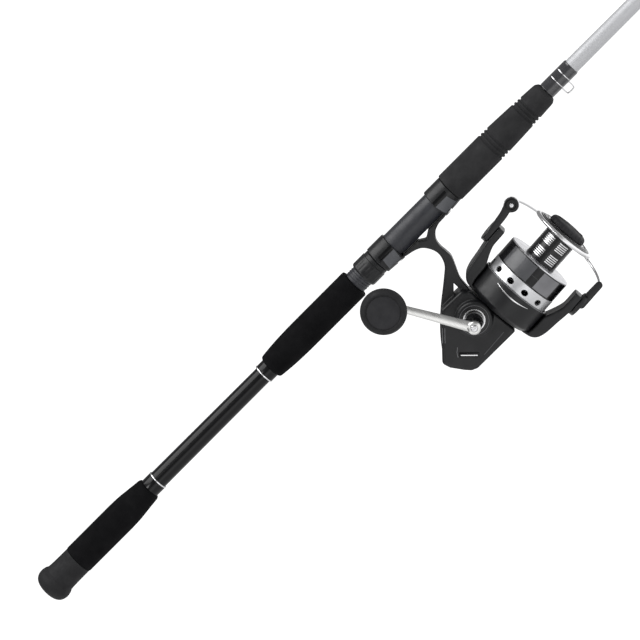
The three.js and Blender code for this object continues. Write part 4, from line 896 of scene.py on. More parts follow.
def guide(number):
    """Frame, ceramic ring and thread for one guide, all measured from its CAD boxes."""
    frame_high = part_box(f"guide_frame_{number}")[1] / MM
    ring_low, ring_high = (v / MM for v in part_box(f"guide_ring_{number}"))
    wrap_low, wrap_high = span(f"guide_wrap_{number}")
    x = (ring_low.x + ring_high.x) / 2
    centre = (ring_low.z + ring_high.z) / 2
    outer = frame_high.y - 0.05
    r_blank = blank_radius(x)
    spread = outer * 0.9 + 3
    place = Matrix.Translation((x * MM, 0, centre * MM))
    rim = rounded([(-1.25, outer - 1.25), (-1.25, outer), (1.25, outer), (1.25, outer - 1.25)],
                  0.45, 4)
    parts = [turned(f"guide_{number}_frame", rim + [rim[0]], place)]
    for way in (-1, 1):
        angle = math.radians(LEG_ANGLES[way])
        near = x + way * spread
        foot_top = -(r_blank + 0.55)
        for side_y in (-1, 1):
            r = outer - 0.65
            end = Vector((x, side_y * r * math.cos(angle), centre + r * math.sin(angle)))
            start = Vector((near + way * 2, side_y * 0.5, foot_top - 0.3))
            bend = start.lerp(end, 0.12) + Vector((-way * 1.2, 0, 0.3))
            leg = flowing([start, bend, start.lerp(end, 0.5), end], 6)
            parts.append(swept("leg", leg, 0.95, sides=12))
        foot = [(near, foot_top - 1.0), (near + way * 13, foot_top - 0.25),
                (near + way * 13.8, foot_top),
                (near, foot_top)]
        parts.append(plate("foot", foot, -1.3, 1.3, round_by=0.2))
    bpy.context.view_layer.update()
    paint(joined(f"guide_{number}_frame", parts), "steel", "root", "steel", f"guide_frame_{number}")
    shell, bore = ring_high.y - 0.05, ring_high.y - 1.6
    lip = rounded([(-1.25, shell), (-1.2, bore + 0.5), (0, bore - 0.1), (1.2, bore + 0.5),
                   (1.25, shell)], 0.8, 5)
    ring = turned(f"guide_{number}_ring", lip + [lip[0]], place)
    paint(ring, "ceramic", "root", "ceramic", f"guide_ring_{number}")

    thread_rings = []
    count = int((wrap_high - wrap_low) / 0.7)
    for i in range(count + 1):
        station = wrap_low + 0.1 + (wrap_high - wrap_low - 0.2) * i / count
        off = abs(station - x)
        over_foot = (min(1, max(0, (off - spread - 1) / 2.5))
                     * min(1, max(0, (spread + 17.4 - off) / 2.5)))
        base = blank_radius(wrap_low) + 0.42
        thread_rings.append((station, base + 0.06 * (i % 2), over_foot))
    vertices, faces, sides = [], [], 48
    for station, base, over_foot in thread_rings:
        for i in range(sides):
            angle = 2 * math.pi * i / sides
            hump = over_foot * 1.15 * max(0, -math.sin(angle)) ** 6
            r = base + hump
            vertices.append((station, r * math.cos(angle), r * math.sin(angle)))
    for a in range(len(thread_rings) - 1):
        for i in range(sides):
            j = (i + 1) % sides
            faces.append([a * sides + i, a * sides + j, (a + 1) * sides + j, (a + 1) * sides + i])
    faces.append(list(range(sides)))
    faces.append(list(range(len(vertices) - sides, len(vertices))))
    wrap = new_piece(f"guide_{number}_thread", vertices, faces, sharp=math.radians(70))
    paint(wrap, "thread", "root", "thread", f"guide_wrap_{number}")
    for end in (wrap_low + 1.2, wrap_high - 1.7):
        r = blank_radius(wrap_low) + 0.5
        trim = [(end, r - 0.3), (end, r), (end + 0.25, r + 0.06), (end + 0.5, r),
                (end + 0.5, r - 0.3)]
        paint(turned(f"guide_{number}_trim", trim + [trim[0]], sides=48), "bright_ring", "root",
              "thread")


for number in range(1, 6):
    guide(number)
print("guides:", 5)

# %% [markdown]
# ### The tip top
# The last guide is a tube pushed over the blank's end, with a ring held just below it.

# %% Tip top
tip_low, tip_high = (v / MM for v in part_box("tip_top"))
ring_low, ring_high = (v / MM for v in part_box("tip_ring"))
tip_x = (ring_low.x + ring_high.x) / 2
tip_z = (ring_low.z + ring_high.z) / 2
outer = tip_high.y - 0.05
place = Matrix.Translation((tip_x * MM, 0, tip_z * MM))
rim = rounded([(-1.25, outer - 1.2), (-1.25, outer), (1.25, outer), (1.25, outer - 1.2)], 0.4, 4)
parts = [turned("tip_frame", rim + [rim[0]], place)]
tube_end = 2131.6
tube = [(tip_low.x + 0.1, 1.8), (tip_low.x + 0.1, 2.35), (tip_low.x + 1, 2.5), (tube_end - 3, 2.45),
        (tube_end - 1, 2.3), (tube_end, 1.6), (tube_end, 0)]
parts.append(turned("tip_tube", [(tip_low.x + 0.1, 0), *tube], sides=40))
for side_y in (-1, 1):
    start = Vector((tip_low.x + 3, side_y * 1.6, -1.7))
    end = Vector((tip_x - 0.2, side_y * (outer - 0.5) * 0.95, tip_z + 1.5))
    leg = flowing([start, start.lerp(end, 0.5) + Vector((1.0, 0, 0.6)), end], 6)
    parts.append(swept("tip_leg", leg, 0.85, sides=12))
bpy.context.view_layer.update()
paint(joined("tip_frame", parts), "steel", "root", "steel", "tip_top")
shell, bore = ring_high.y - 0.05, ring_high.y - 1.6
lip = rounded([(-1.25, shell), (-1.2, bore + 0.5), (0, bore - 0.1), (1.2, bore + 0.5),
               (1.25, shell)], 0.8, 5)
paint(turned("tip_ceramic", lip + [lip[0]], place), "ceramic", "root", "ceramic", "tip_ring")
wrap = [(tip_low.x - 9, 1.8), (tip_low.x - 8.5, 2.15)]
for i in range(15):
    x = tip_low.x - 8 + 0.5 * i
    wrap += [(x, 2.15), (x + 0.25, 2.25)]
wrap += [(tip_low.x - 0.1, 2.2), (tip_low.x - 0.1, 1.8), wrap[0]]
paint(turned("tip_thread", wrap, sides=40), "thread", "root", "thread")
print("tip ends at", round(tip_high.x, 1), "mm")

# %% [markdown]
# ## The reel's body
# The body is moulded in graphite-filled plastic: a flat gear housing, a round boss for the
# crank, a slim stem with a small window, and a thin foot. The housing and the stem are
# drawn as outlines, the boss is turned, and melting them together gives the soft inside
# corners of a moulding. Outlines are in millimetres from the crank axis, as the gears are
# laid out, or from the middle of the foot.

# %% Body outlines
crank_x, crank_z = crank_point.x / MM, crank_point.z / MM
body_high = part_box("reel_body")[1] / MM
foot_x = body_high.x - 35.0
foot_top = body_high.z
foot_under = foot_top - 2.6


def on_spool(station, offset):
    """A point of the spool's own frame as world X and Z, in millimetres."""
    point = SPOOL @ Vector((station * MM, 0, offset * MM))
    return point.x / MM, point.z / MM


front_low, front_high = on_spool(-1.3, -24), on_spool(-1.3, 33)
housing = [
    (crank_x - 51.2, crank_z - 9.3), (crank_x - 48.7, crank_z - 17), (crank_x - 41, crank_z - 27.9),
    (crank_x - 36.5, crank_z - 33.0), (crank_x - 31, front_low[1] + 0.3),
    (front_low[0] - 2, front_low[1] + 0.1),
    (front_low[0], front_low[1] + 2), (front_high[0], front_high[1] - 2),
    (front_high[0] - 3, front_high[1]),
    (crank_x + 9.5, crank_z + 26.6), (crank_x - 15.8, crank_z + 27.1),
]
stem = [
    (foot_x - 26, foot_top), (foot_x - 8.5, foot_top), (foot_x - 1, foot_under - 2.2),
    (foot_x + 6.5, foot_top),
    (foot_x + 26, foot_top), (foot_x + 26, foot_under), (foot_x + 19, foot_under),
    *flowing([(foot_x + 16, foot_under - 0.6), (foot_x + 10.5, foot_under - 3),
              (foot_x + 5, foot_under - 9),
              (foot_x + 3.5, foot_under - 16), (foot_x + 3.9, foot_under - 24),
              (foot_x + 3.8, foot_under - 30),
              (foot_x, foot_under - 39), (foot_x - 5, foot_under - 50),
              (foot_x - 6.4, foot_under - 64)], 4),
    (foot_x - 20, foot_under - 64),
    *flowing([(crank_x - 50, crank_z - 10), (crank_x - 38.6, crank_z + 5),
              (crank_x - 27.6, crank_z + 17),
              (crank_x - 15.4, crank_z + 28), (foot_x - 24, foot_under - 46),
              (foot_x - 14, foot_under - 38),
              (foot_x - 6.5, foot_under - 31), (foot_x - 3, foot_under - 22),
              (foot_x - 4, foot_under - 14),
              (foot_x - 9, foot_under - 6), (foot_x - 16, foot_under - 2.2),
              (foot_x - 26, foot_under)], 4),
]
print("housing is", round(max(x for x, z in housing) - min(x for x, z in housing)), "mm long")

# %% [markdown]
# ### The casting
# Housing, stem, foot, crank boss and spool neck are made apart and melted into one body. The
# boss's shoulder keeps clear of the rotor, whose arms sweep past just in front of it.

# %% Body casting
side_y = -18.9
inner_y = body_high.y
parts = [plate("reel_body_skin", housing, side_y, inner_y - 0.1, round_by=4.0, steps=4)]
parts.append(plate("stem", stem, -6.4, 6.4, round_by=3.0, steps=4))
for way in (-1, 1):
    toe = [(foot_x + way * 6.8, foot_top), (foot_x + way * 34.9, foot_top),
           (foot_x + way * 34.9, foot_top - 1.6), (foot_x + way * 20, foot_under),
           (foot_x + way * 11, foot_under)]
    parts.append(plate("toe", toe, -6.9, 6.9, round_by=0.5))
boss_frame = CRANK
boss = rounded([(15, 0), (15, 17.2), (26.6, 17.2), (27.9, 15.4), (27.9, 0)], 1.6, 5)
parts.append(turned("boss", boss, boss_frame))
rotor_room = -(SPOOL.inverted() @ crank_point).x / MM  # from the crank's axis to the rotor's back
wide = min(21.5, rotor_room - 1.2)
shoulder = [(16, 0), (16, wide), (18.5, wide - 0.5), (20.5, 17.2), (21, 0)]
print("crank shoulder", round(wide, 1), "mm, rotor back at", round(rotor_room, 1), "mm")
parts.append(turned("shoulder", shoulder, boss_frame))
parts.append(turned("neck", rounded([(-8, 0), (-8, 15.3), (9.4, 15.3), (9.4, 0)], 0.6), SPOOL))
bpy.context.view_layer.update()
body = cast("reel_body_skin", parts, 0.6, 5)

window = [(foot_x - 12.4, foot_under - 48.6), (foot_x - 20.6, foot_under - 57),
          (foot_x - 12.4, foot_under - 57)]
cut_away(body, plate("window", window, -40, 40, round_by=0))
cut_away(body, turned("crank_hole", [(10, 0), (10, 8.9), (28.5, 8.9), (28.5, 0)], CRANK))
paint(body, "graphite", "root", "graphite", "reel_body")
print("body has", len(body.data.vertices), "vertices")

# %% [markdown]
# ### Dress of the body
# The far side is closed by a screwed-on cover. The near side carries a dark gloss badge
# panel, two thin bright lines along the housing's rear edge that are a painted highlight of
# the rear cover's edge, a lighter strip that is a painted highlight along a front ridge, and
# bright rings on the crank boss round a pale washer. These are inlays a few tenths of a
# millimetre high, so they catch light like print on the real thing and still are real pieces.

# %% Side cover and inlays
inside_outline = [(crank_x - 11 + (x - crank_x + 11) * 0.985,
                   crank_z - 6 + (z - crank_z + 6) * 0.985)
                  for x, z in housing]
cover_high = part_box("side_cover")[1] / MM
cover = plate("side_cover_skin", inside_outline, inner_y + 0.35, cover_high.y - 0.02, round_by=1.3,
              steps=4)
paint(cover, "graphite", "root", "graphite", "side_cover")


def inlay(name, path, width, material, y=side_y, lift=0.16):
    """A thin strip on the housing's near side, following points in X and Z."""
    vertices, faces = [], []
    path = [Vector(p) for p in path]
    for i, point in enumerate(path):
        ahead, behind = path[min(i + 1, len(path) - 1)], path[max(i - 1, 0)]
        heading = (ahead - behind).normalized()
        across = Vector((-heading.y, heading.x)) * width / 2
        for offset in (across, -across):
            spot = point + offset
            vertices += [(spot.x, y - lift, spot.y), (spot.x, y + 0.5, spot.y)]
    for i in range(len(path) - 1):
        a, b = 4 * i, 4 * i + 4
        faces += [[a, a + 2, b + 2, b], [a + 1, b + 1, b + 3, a + 3], [a, b, b + 1, a + 1],
                  [a + 2, a + 3, b + 3, b + 2]]
    faces += [[0, 1, 3, 2],
              [4 * len(path) - 4, 4 * len(path) - 2, 4 * len(path) - 1, 4 * len(path) - 3]]
    piece = new_piece(name, vertices, faces)
    return paint(piece, material, "root", "steel")


# Places on the housing are given as steps to the right and up, as one sees them when the
# rod is held at 45 degrees, which is how the badge is squared up.
def seen_at(right_mm, up_mm):
    """World X and Z of a point beside the crank axis, in millimetres."""
    return (crank_x + (right_mm + up_mm) * 0.7071, crank_z + (up_mm - right_mm) * 0.7071)


# Two thin grey lines: a painted highlight of the rear cover's edge.
for number, right_mm in enumerate((-27, -29.2), 1):
    inlay(f"rear_painted_highlight_{number}", [seen_at(right_mm, -9), seen_at(right_mm + 0.2, -23)], 0.45,
          "grey_ink_and_painted_light")
# A lighter strip: a painted highlight along the front ridge's bevel.
inlay("front_ridge_painted_highlight", [seen_at(27, -13), seen_at(9, -34)], 0.5, "charcoal_painted_light")
inlay("badge_line", [seen_at(-15.5, -27), seen_at(-16, -32), seen_at(-15, -36.5)], 0.45,
      "grey_ink_and_painted_light")
badge_corners = [seen_at(-13.5, -31.5), seen_at(4, -31.5), seen_at(4.8, -32.5), seen_at(4.2, -36.2),
                 seen_at(3.2, -37), seen_at(-13, -37), seen_at(-14, -36), seen_at(-14.2, -32.4)]
badge = plate("badge_panel", badge_corners, side_y - 0.25, side_y + 0.6, round_by=0.2)
paint(badge, "gloss", "root", "graphite")
inlay("badge_bar", [seen_at(-12.5, -34.4), seen_at(3, -34.4)], 0.9, "bright_ring", side_y - 0.22)

for name, inner, outer, material in (("boss_ring_bright", 9.2, 10.2, "bright_ring"),
                                     ("boss_ring_dark", 10.3, 12.6, "spool_black"),
                                     ("boss_ring_fine", 13.4, 13.7, "grey_ink_and_painted_light")):
    face = [(27.4, inner), (27.98, inner), (27.98, outer), (27.4, outer), (27.4, inner)]
    paint(turned(name, face, CRANK), material, "root", "steel")
print("inlays laid")

# %% [markdown]
# ### Screws and cap
# Three screws with low round heads and crossed slots hold the side cover. A cap closes the
# crank's bore on the side where no handle is fitted.

# %% Cover screws and handle cap
for number in (1, 2, 3):
    low, high = (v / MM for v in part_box(f"cover_screw_{number}"))
    centre = ((low.x + high.x) / 2 * MM, 0, (low.z + high.z) / 2 * MM)
    place = axis_frame(centre, (0, 1, 0))
    head = [(low.y, 0), (low.y, 1.3), (high.y - 1.2, 1.3), (high.y - 1.2, 2.55),
            (high.y - 0.5, 2.5),
            (high.y - 0.02, 1.7), (high.y - 0.02, 0)]
    screw = turned(f"cover_screw_{number}_skin", head, place, 48)
    for angle in (0, 90):
        slot = plate("slot", [(-2, -0.3), (2, -0.3), (2, 0.3), (-2, 0.3)], -0.5, 0.8, round_by=0)
        slot.matrix_world = place @ Matrix.Translation((high.y * MM, 0, 0)) @ Matrix.Rotation(
            math.radians(angle), 4, "X") @ Matrix.Rotation(math.radians(90), 4, "Z")
        bpy.context.view_layer.update()
        cut_away(screw, slot)
    paint(screw, "steel", "root", "steel", f"cover_screw_{number}")
low, high = (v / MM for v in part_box("handle_cap"))
cap_curve = rounded([(low.y, 0), (low.y, high.x - crank_x - 0.4),
                     (high.y - 0.9, high.x - crank_x - 0.1),
                     (high.y, 7), (high.y, 0)], 0.7, 4)
paint(turned("handle_cap_skin", cap_curve, axis_frame(crank_point, (0, 1, 0))), "graphite", "root",
      "graphite", "handle_cap")

# %% [markdown]
# ## Rotor
# The rotor is a cup with two arms that turns round the spool. The cup is turned and the
# arms are cut from outlines, rounded over generously, and melted together with their pivot
# bosses; they reach back to the cup's back plate.
# A cylinder then clears the inside of the cup, so that the spool can stroke in it.

# %% Rotor cup and arms
CUP_OUT = 35.15
CUP_IN = 33.95


def yoke(way):
    """One arm's outline in the spool frame, from the back plate to its tip."""
    sweep = [(30, 38), (36, 40.6), (42, 42.6), (47, 43.1), (59.9, 43.1)]
    back = [(59.9, 50.4), (43, 50.4), (28, 48.4), (17, 47.2), (10, 45.6), (5, 43), (1.6, 38),
            (0.3, 30)]
    points = [(0.3, 17), (3.4, 17), (3.4, 33.4), (9, 34.8), (24, 35.2)] + flowing(sweep, 3)
    points += flowing(back, 3)
    return [(x, way * z) for x, z in points]


cup = turned("rotor_cup",
             [(0.1, 17.8),
              *rounded([(0.1, 30), (4.3, CUP_OUT), (26.9, CUP_OUT), (26.9, CUP_IN)], 1.5, 4),
                           (3.5, CUP_IN), (3.5, 20), (13, 18.2), (13, 5.6), (10.2, 5.6),
                           (10.2, 17.8), (0.1, 17.8)],
             SPOOL, 128)
paint(cup, "graphite", "rotor", "graphite", "rotor")
for way, label in ((1, "near"), (-1, "far")):
    arm = plate("arm", yoke(way), -12.8, 12.8, SPOOL, round_by=3.2, steps=5)
    tip = turned("tip", rounded([(43.2, 0), (43.2, 12.6), (50.4, 12.6), (50.4, 0)], 1.2, 4),
                 SPOOL @ Matrix.Translation((0.052, 0,
                                             0)) @ Matrix.Rotation(math.radians(-90 * way), 4, "Y"))
    bpy.context.view_layer.update()
    arm = cast(f"rotor_arm_{label}", [arm, tip], 0.55, 6)
    clear = turned("clear", [(3.6, 0), (3.6, CUP_IN), (70, CUP_IN), (70, 0)], SPOOL, 128)
    cut_away(arm, clear)
    cut_away(arm, turned("recess", [(-3, 0), (-3, 17.7), (5, 17.7), (5, 0)], SPOOL))
    block = [(59.95, way * 30), (70, way * 30), (70, way * 60), (59.95, way * 60)]
    cut_away(arm, plate("square_off", block, -30, 30, SPOOL, round_by=0))
    paint(arm, "graphite", "rotor", "graphite")
    pin_end = SPOOL @ Matrix.Translation((0.052, 0, 0)) @ Matrix.Rotation(math.radians(-90 * way),
                                                                          4, "Y")
    paint(turned(f"bail_pin_{label}", rounded([(50, 0), (50, 2.9), (55.4, 2.9), (55.4, 0)], 0.5),
                 pin_end, 40),
          "steel", "rotor", "steel")
lip_line = [(26.2, CUP_OUT - 0.3), (26.2, CUP_OUT + 0.04), (26.7, CUP_OUT + 0.02),
            (26.7, CUP_OUT - 0.3),
            (26.2, CUP_OUT - 0.3)]
paint(turned("rotor_lip_line", lip_line, SPOOL, 128), "grey_ink_and_painted_light", "rotor", "steel")
print("rotor reaches", 50.4, "mm from its axis")

# %% [markdown]
# ## Bail
# The bail folds over the spool. A flat arm carries the line roller, a bent stainless wire
# runs round the front, and a small lever takes the wire's far end. Arm and lever are
# plates with rounded edges, and the wire is one swept curve that thickens into a cone.

# %% Bail arm and lever
PIVOT = 52.0
roller_z = 55.4


def pivot_disc(name, way):
    """The round end of a bail arm, on the outside of the rotor's arm."""
    place = SPOOL @ Matrix.Translation((PIVOT * MM, 0,
                                        0)) @ Matrix.Rotation(math.radians(-90 * way), 4, "Y")
    disc = rounded([(50.85, 3.35), (50.85, 12.1), (55.35, 12.1), (55.35, 3.35)], 1.0, 4)
    return turned(name, disc + [disc[0]], place, 80)


outer_edge = flowing([(43.5, 51), (45, 54), (52, 56.2), (62, 57.6), (71, 58.7), (77.5, 60.5)], 4)
boss_edge = [(83 + 6.8 * math.cos(math.radians(a)), roller_z + 6.8 * math.sin(math.radians(a)))
             for a in range(125, -146, -10)]
inner_edge = flowing([(76.4, 52.2), (71, 51.3), (62, 50.9), (50, 50.9)], 3)
arm_shape = outer_edge + boss_edge + inner_edge
arm_plate = plate("bail_plate", arm_shape, -13.25, -9.35, SPOOL, round_by=1.0, steps=4)
disc = pivot_disc("disc", 1)
bpy.context.view_layer.update()
bail_arm = joined("bail_arm_skin", [arm_plate, disc])
paint(bail_arm, "graphite", "bail", "graphite", "bail_arm")
lever_shape = bar_outline((PIVOT + 2, -54.9), 3.9, (78, -roller_z), 3.3)
lever_shape = [(x, min(z, -50.9) if x < 72.5 else z) for x, z in lever_shape]
lever_plate = plate("lever_plate", lever_shape, -3.9, 0.95, SPOOL, round_by=1.0, steps=4)
disc = pivot_disc("disc", -1)
bpy.context.view_layer.update()
lever = joined("bail_lever_skin", [lever_plate, disc])
lever.data.transform(lever.matrix_world)
lever.matrix_world = Matrix.Identity(4)
paint(lever, "graphite", "bail", "graphite", "bail_lever")

# %% [markdown]
# ### Wire and roller
# The bail wire bows forward from one arm to the other, so that it clears the spool's lip when
# it flips over. The line runs on a grooved roller at its end, held by a slotted screw.

# %% Wire, roller and screw
WIRE_BULGE = 6
wire_path, wire_radii = [], []
for i in range(61):
    share = i / 60
    angle = math.pi * share
    forward = WIRE_BULGE * math.sin(angle)
    wire_path.append((83 - 5 * share + forward, 1.3 + 52 * math.sin(angle),
                      roller_z * math.cos(angle)))
    wire_radii.append(1.2)
wire = swept("bail_wire_skin", wire_path, wire_radii, SPOOL, 20)
at_roller = SPOOL @ Matrix.Translation((83 * MM, 0,
                                        roller_z * MM)) @ Matrix.Rotation(math.radians(90), 4, "Z")
cone = flowing([(-1.2, 5.5), (0.8, 5.0), (2.6, 3.4), (4.0, 2.2), (4.8, 1.2)], 5)
root = turned("wire_root", [(-1.2, 0), *cone, (4.8, 0)], at_roller, 48)
bpy.context.view_layer.update()
paint(joined("bail_wire_skin", [wire, root]), "steel", "bail", "steel", "bail_wire")

groove = flowing([(-8.9, 5.3), (-8, 5.5), (-6.6, 4.6), (-5.25, 4.0), (-3.9, 4.6), (-2.5, 5.5),
                  (-1.6, 5.3)], 5)
roller = turned("line_roller_skin", [(-8.9, 1.7), *groove, (-1.6, 1.7), (-8.9, 1.7)], at_roller, 64)
paint(roller, "bright_ring", "roller", "steel", "line_roller")
screw = turned("roller_screw_skin",
               rounded([(-14.85, 0), (-14.85, 1.8), (-13.6, 2.1), (-13.6, 1.25), (0.5, 1.25),
                                             (0.5, 0)], 0.3), at_roller, 40)
slot = plate("slot", [(-15.4, -0.35), (-14.3, -0.35), (-14.3, 0.35), (-15.4, 0.35)], -3, 3,
             at_roller, round_by=0)
cut_away(screw, slot)
paint(screw, "steel", "bail", "steel", "roller_screw")
guard = rounded([(-9.3, 1.6), (-9.3, 7.3), (-8.95, 7.5), (-8.6, 7.3), (-8.6, 5.9), (-8.95, 1.6)],
                0.2)
paint(turned("roller_guard", guard + [guard[0]], at_roller, 64), "bright_ring", "bail", "steel")
boss_ring = [(-13.35, 3.4), (-13.5, 3.9), (-13.5, 5.3), (-13.35, 5.8), (-13.0, 5.8), (-13.0, 3.4),
             (-13.35, 3.4)]
paint(turned("roller_boss_ring", boss_ring, at_roller, 64), "gloss", "bail", "graphite")
print("bail wire is", round(2 * 1.2, 1), "mm thick")

# %% [markdown]
# ## Spool
# The spool is turned from aluminium and then dressed: a bright lower band drilled with a
# row of holes, a black upper band carrying panels of painted reflection, a bright shoulder,
# a black arbor with two groups of fine bright grooves broken into arcs by painted shade,
# and a bright lip that the line slides over.
# Each dressed zone is its own turned sleeve, fitted edge to edge with its neighbours.

# %% Skirt
band = rounded([(23.05, 31.5), (23.05, 33.3), (38.9, 33.3), (38.9, 31.5)], 0.4)
lower = turned("spool_lower_band", band + [band[0]], SPOOL, 144)
holes = []
for i in range(12):
    angle = 2 * math.pi * i / 12 + math.radians(8)
    oval = [(32 + 2.95 * math.cos(a * math.pi / 12),
             3.6 * math.sin(a * math.pi / 12)) for a in range(24)]
    # The outline lies in local X and Z; turning it about X brings Y outwards, round the spool.
    drill = plate("drill", oval, 29, 36, SPOOL @ Matrix.Rotation(angle, 4, "X"), round_by=0)
    holes.append(drill)
bpy.context.view_layer.update()
cut_away(lower, joined("drills", holes))
paint(lower, "pearl_band", "spool", "spool_metal", "spool")

inner_wall = [(36.5, 30.8), (36.5, 31.48), (57.5, 31.48), (57.5, 3.0), (56.8, 3.0), (56.8, 30.8),
              (36.5, 30.8)]
paint(turned("spool_inner_wall", inner_wall, SPOOL, 96), "spool_black", "spool", "spool_metal")
upper = rounded([(39, 31.5), (39, 33.05), (58.8, 33.05), (58.8, 31.5)], 0.4)
paint(turned("spool_upper_band", upper + [upper[0]], SPOOL, 144), "spool_black", "spool",
      "spool_metal")
shoulder = rounded([(58.85, 31.4), (58.85, 33.05), (60, 32.3), (60, 15.7), (57.6, 15.7),
                    (57.6, 31.4)], 0.35)
paint(turned("spool_shoulder", shoulder + [shoulder[0]], SPOOL, 144), "spool_metal", "spool",
      "spool_metal")


# %% [markdown]
# ### Panels of painted reflection
# The skirt's black band carries grey and charcoal panels and black squares, a painted
# reflection of the studio lamps and of the dark gaps between them. Each is a thin curved
# sheet lying on the metal, so it follows the skirt and rides with the spool.

# %% Painted reflection panels
def sheet_on_spool(name, first, last, angle_low, angle_high, material, radius=33.05, lift=0.06):
    """A curved sheet of colour on the spool; angles are in degrees from the reel's near side."""
    steps = max(2, int(abs(angle_high - angle_low) / 3))
    vertices, faces = [], []
    for depth in (lift, -0.3):
        for k in range(steps + 1):
            angle = math.radians(angle_low + (angle_high - angle_low) * k / steps)
            for x in (first, last):
                r = radius + depth
                vertices.append((x, -r * math.cos(angle), r * math.sin(angle)))
    layer = 2 * (steps + 1)
    for k in range(steps):
        a = 2 * k
        faces += [[a, a + 1, a + 3, a + 2],
                  [layer + a, layer + a + 2, layer + a + 3, layer + a + 1],
                  [a, a + 2, layer + a + 2, layer + a],
                  [a + 1, layer + a + 1, layer + a + 3, a + 3]]
    a = 2 * steps
    faces += [[0, layer, layer + 1, 1], [a, a + 1, layer + a + 1, layer + a]]
    patch = new_piece(name, vertices, faces, SPOOL)
    return paint(patch, material, "spool", "spool_metal")


# Grey and charcoal panels are a painted reflection of the lamps; the gloss squares and ends are a painted
# reflection of the dark gaps between them.
for turn_number, centre in enumerate((0, 180)):
    tag = f"print_{turn_number}"
    sheet_on_spool(tag + "_dark", 40.2, 57.9, centre + 3.5, centre + 58, "charcoal_painted_light")
    sheet_on_spool(tag + "_grey", 40.2, 57.9, centre - 47, centre - 11.5, "grey_ink_and_painted_light")
    for label, first, last in (("low", 40.2, 48.6), ("high", 49.4, 57.9)):
        sheet_on_spool(f"{tag}_{label}_square", first, last, centre - 10.5, centre + 2.5, "gloss",
                       lift=0.09)
        sheet_on_spool(f"{tag}_{label}_end", first, last, centre - 76, centre - 50, "gloss",
                       lift=0.09)

# A thin bright crescent is printed on the rotor's cup, just under the spool's band.
vertices, faces = [], []
for k in range(31):
    share = k / 30
    angle = math.radians(34 - 62 * share)
    x = 22.5 - 2.2 * math.sin(math.pi * share)
    half = 0.12 + 0.45 * math.sin(math.pi * share)
    for station, r in ((x - half, CUP_OUT + 0.04), (x + half, CUP_OUT + 0.04),
                       (x + half, CUP_OUT - 0.4),
                       (x - half, CUP_OUT - 0.4)):
        vertices.append((station, -r * math.cos(angle), r * math.sin(angle)))
for k in range(30):
    for i in range(4):
        faces.append([4 * k + i, 4 * k + (i + 1) % 4, 4 * k + 4 + (i + 1) % 4, 4 * k + 4 + i])
faces += [[0, 1, 2, 3], [120, 121, 122, 123]]
paint(new_piece("rotor_crescent", vertices, faces, SPOOL), "bright_ring", "rotor", "steel")

# %% [markdown]
# ### Arbor, lip and face
# The line is wound on the arbor, between the skirt and a polished lip. The face inside the
# lip goes down in small turned steps round the drag knob.

# %% Arbor, lip and face
arbor = [(59.6, 15.5), (61, 15.5), (89, 15.5), (90.1, 16.6), (90.1, 3.0), (59.6, 3.0), (59.6, 15.5)]
paint(turned("spool_arbor", arbor, SPOOL, 128), "spool_black", "spool", "spool_metal")
# The bright grooves are real, but each is laid only as six arcs; the black gaps between the arcs are painted shade
# where the grooves reflect dark.
for group, start in enumerate((63.4, 77.4)):
    for i in range(5):
        x = start + 1.95 * i
        for k in range(6):
            low_angle = 60 * k + 18
            name = f"arbor_line_{group}_{i}_{k}"
            sheet_on_spool(name, x, x + 0.95, low_angle, low_angle + 38, "bright_ring", 15.55, 0.12)
lip = [(90, 16.5), *flowing([(90.2, 29), (90.6, 31.3), (91.6, 32.25), (92.8, 32.2), (94, 30.7)], 5),
       (94, 28.6), (92, 28.2), (90, 16.5)]
paint(turned("spool_lip", lip, SPOOL, 144), "bright_ring", "spool", "spool_metal")
face = [(92.6, 12.9),
        *rounded([(92.6, 28.4), (94.3, 28.4), (94.7, 27.4), (94.7, 26), (95.4, 25.2), (95.4, 23.4),
                                (94.9, 22.9), (94.9, 21.6), (95.45, 21.2), (95.45, 12.9)], 0.25),
                                (92.6, 12.9)]
paint(turned("spool_face", face, SPOOL, 128), "spool_black", "spool", "spool_metal")
line = [(95.2, 20.1), (95.48, 20.2), (95.48, 20.8), (95.2, 20.9), (95.2, 20.1)]
paint(turned("spool_face_line", line, SPOOL, 128), "bright_ring", "spool", "spool_metal")
well = [(80.6, 2.95), (80.6, 12.85), (94.2, 12.85), (94.2, 15), (80, 15), (80, 2.95), (80.6, 2.95)]
paint(turned("drag_well", well, SPOOL, 96), "spool_metal", "spool", "spool_metal")

# %% [markdown]
# ### Drag knob
# The knob presses the drag washers together. Its rim is fluted for grip, and its domed
# face carries a raised bar to turn it by.

# %% Drag knob
knob_rings = [(95.8, 18.6, 0, 24), (96.3, 19.3, 0, 24), (96.8, 19.45, 0.7, 24),
              (99.2, 19.1, 0.7, 24),
              (100.2, 18.4, 0.3, 24), (101, 17.6, 0, 24), (101.6, 16.2, 0, 24),
              (102.0, 13.5, 0, 24),
              (102.3, 9, 0, 24), (102.45, 4, 0, 24)]
knob = rippled("drag_knob_skin", knob_rings, 3.2, SPOOL, 192)
bar = bar_outline((0, -11.5), 3.0, (0, 11.5), 2.999)
grip_frame = SPOOL @ Matrix.Rotation(math.radians(-90), 4, "Z")
grip = plate("grip_bar", bar, 100.6, 102.75, grip_frame, round_by=0.7, steps=3)
cap_disc = turned("cap_disc", rounded([(101, 0), (101, 5.5), (102.7, 5), (102.7, 0)], 0.6), SPOOL,
                  64)
neck_tube = turned("knob_neck", [(88, 3.2), (88, 8.6), (97, 8.6), (97, 3.2), (88, 3.2)], SPOOL, 64)
bpy.context.view_layer.update()
knob = joined("drag_knob_skin", [knob, grip, cap_disc, neck_tube])
paint(knob, "knob_rubber", "drag", "rubber", "drag_knob")
print("drag knob front at", 102.75, "mm along the spool axis")

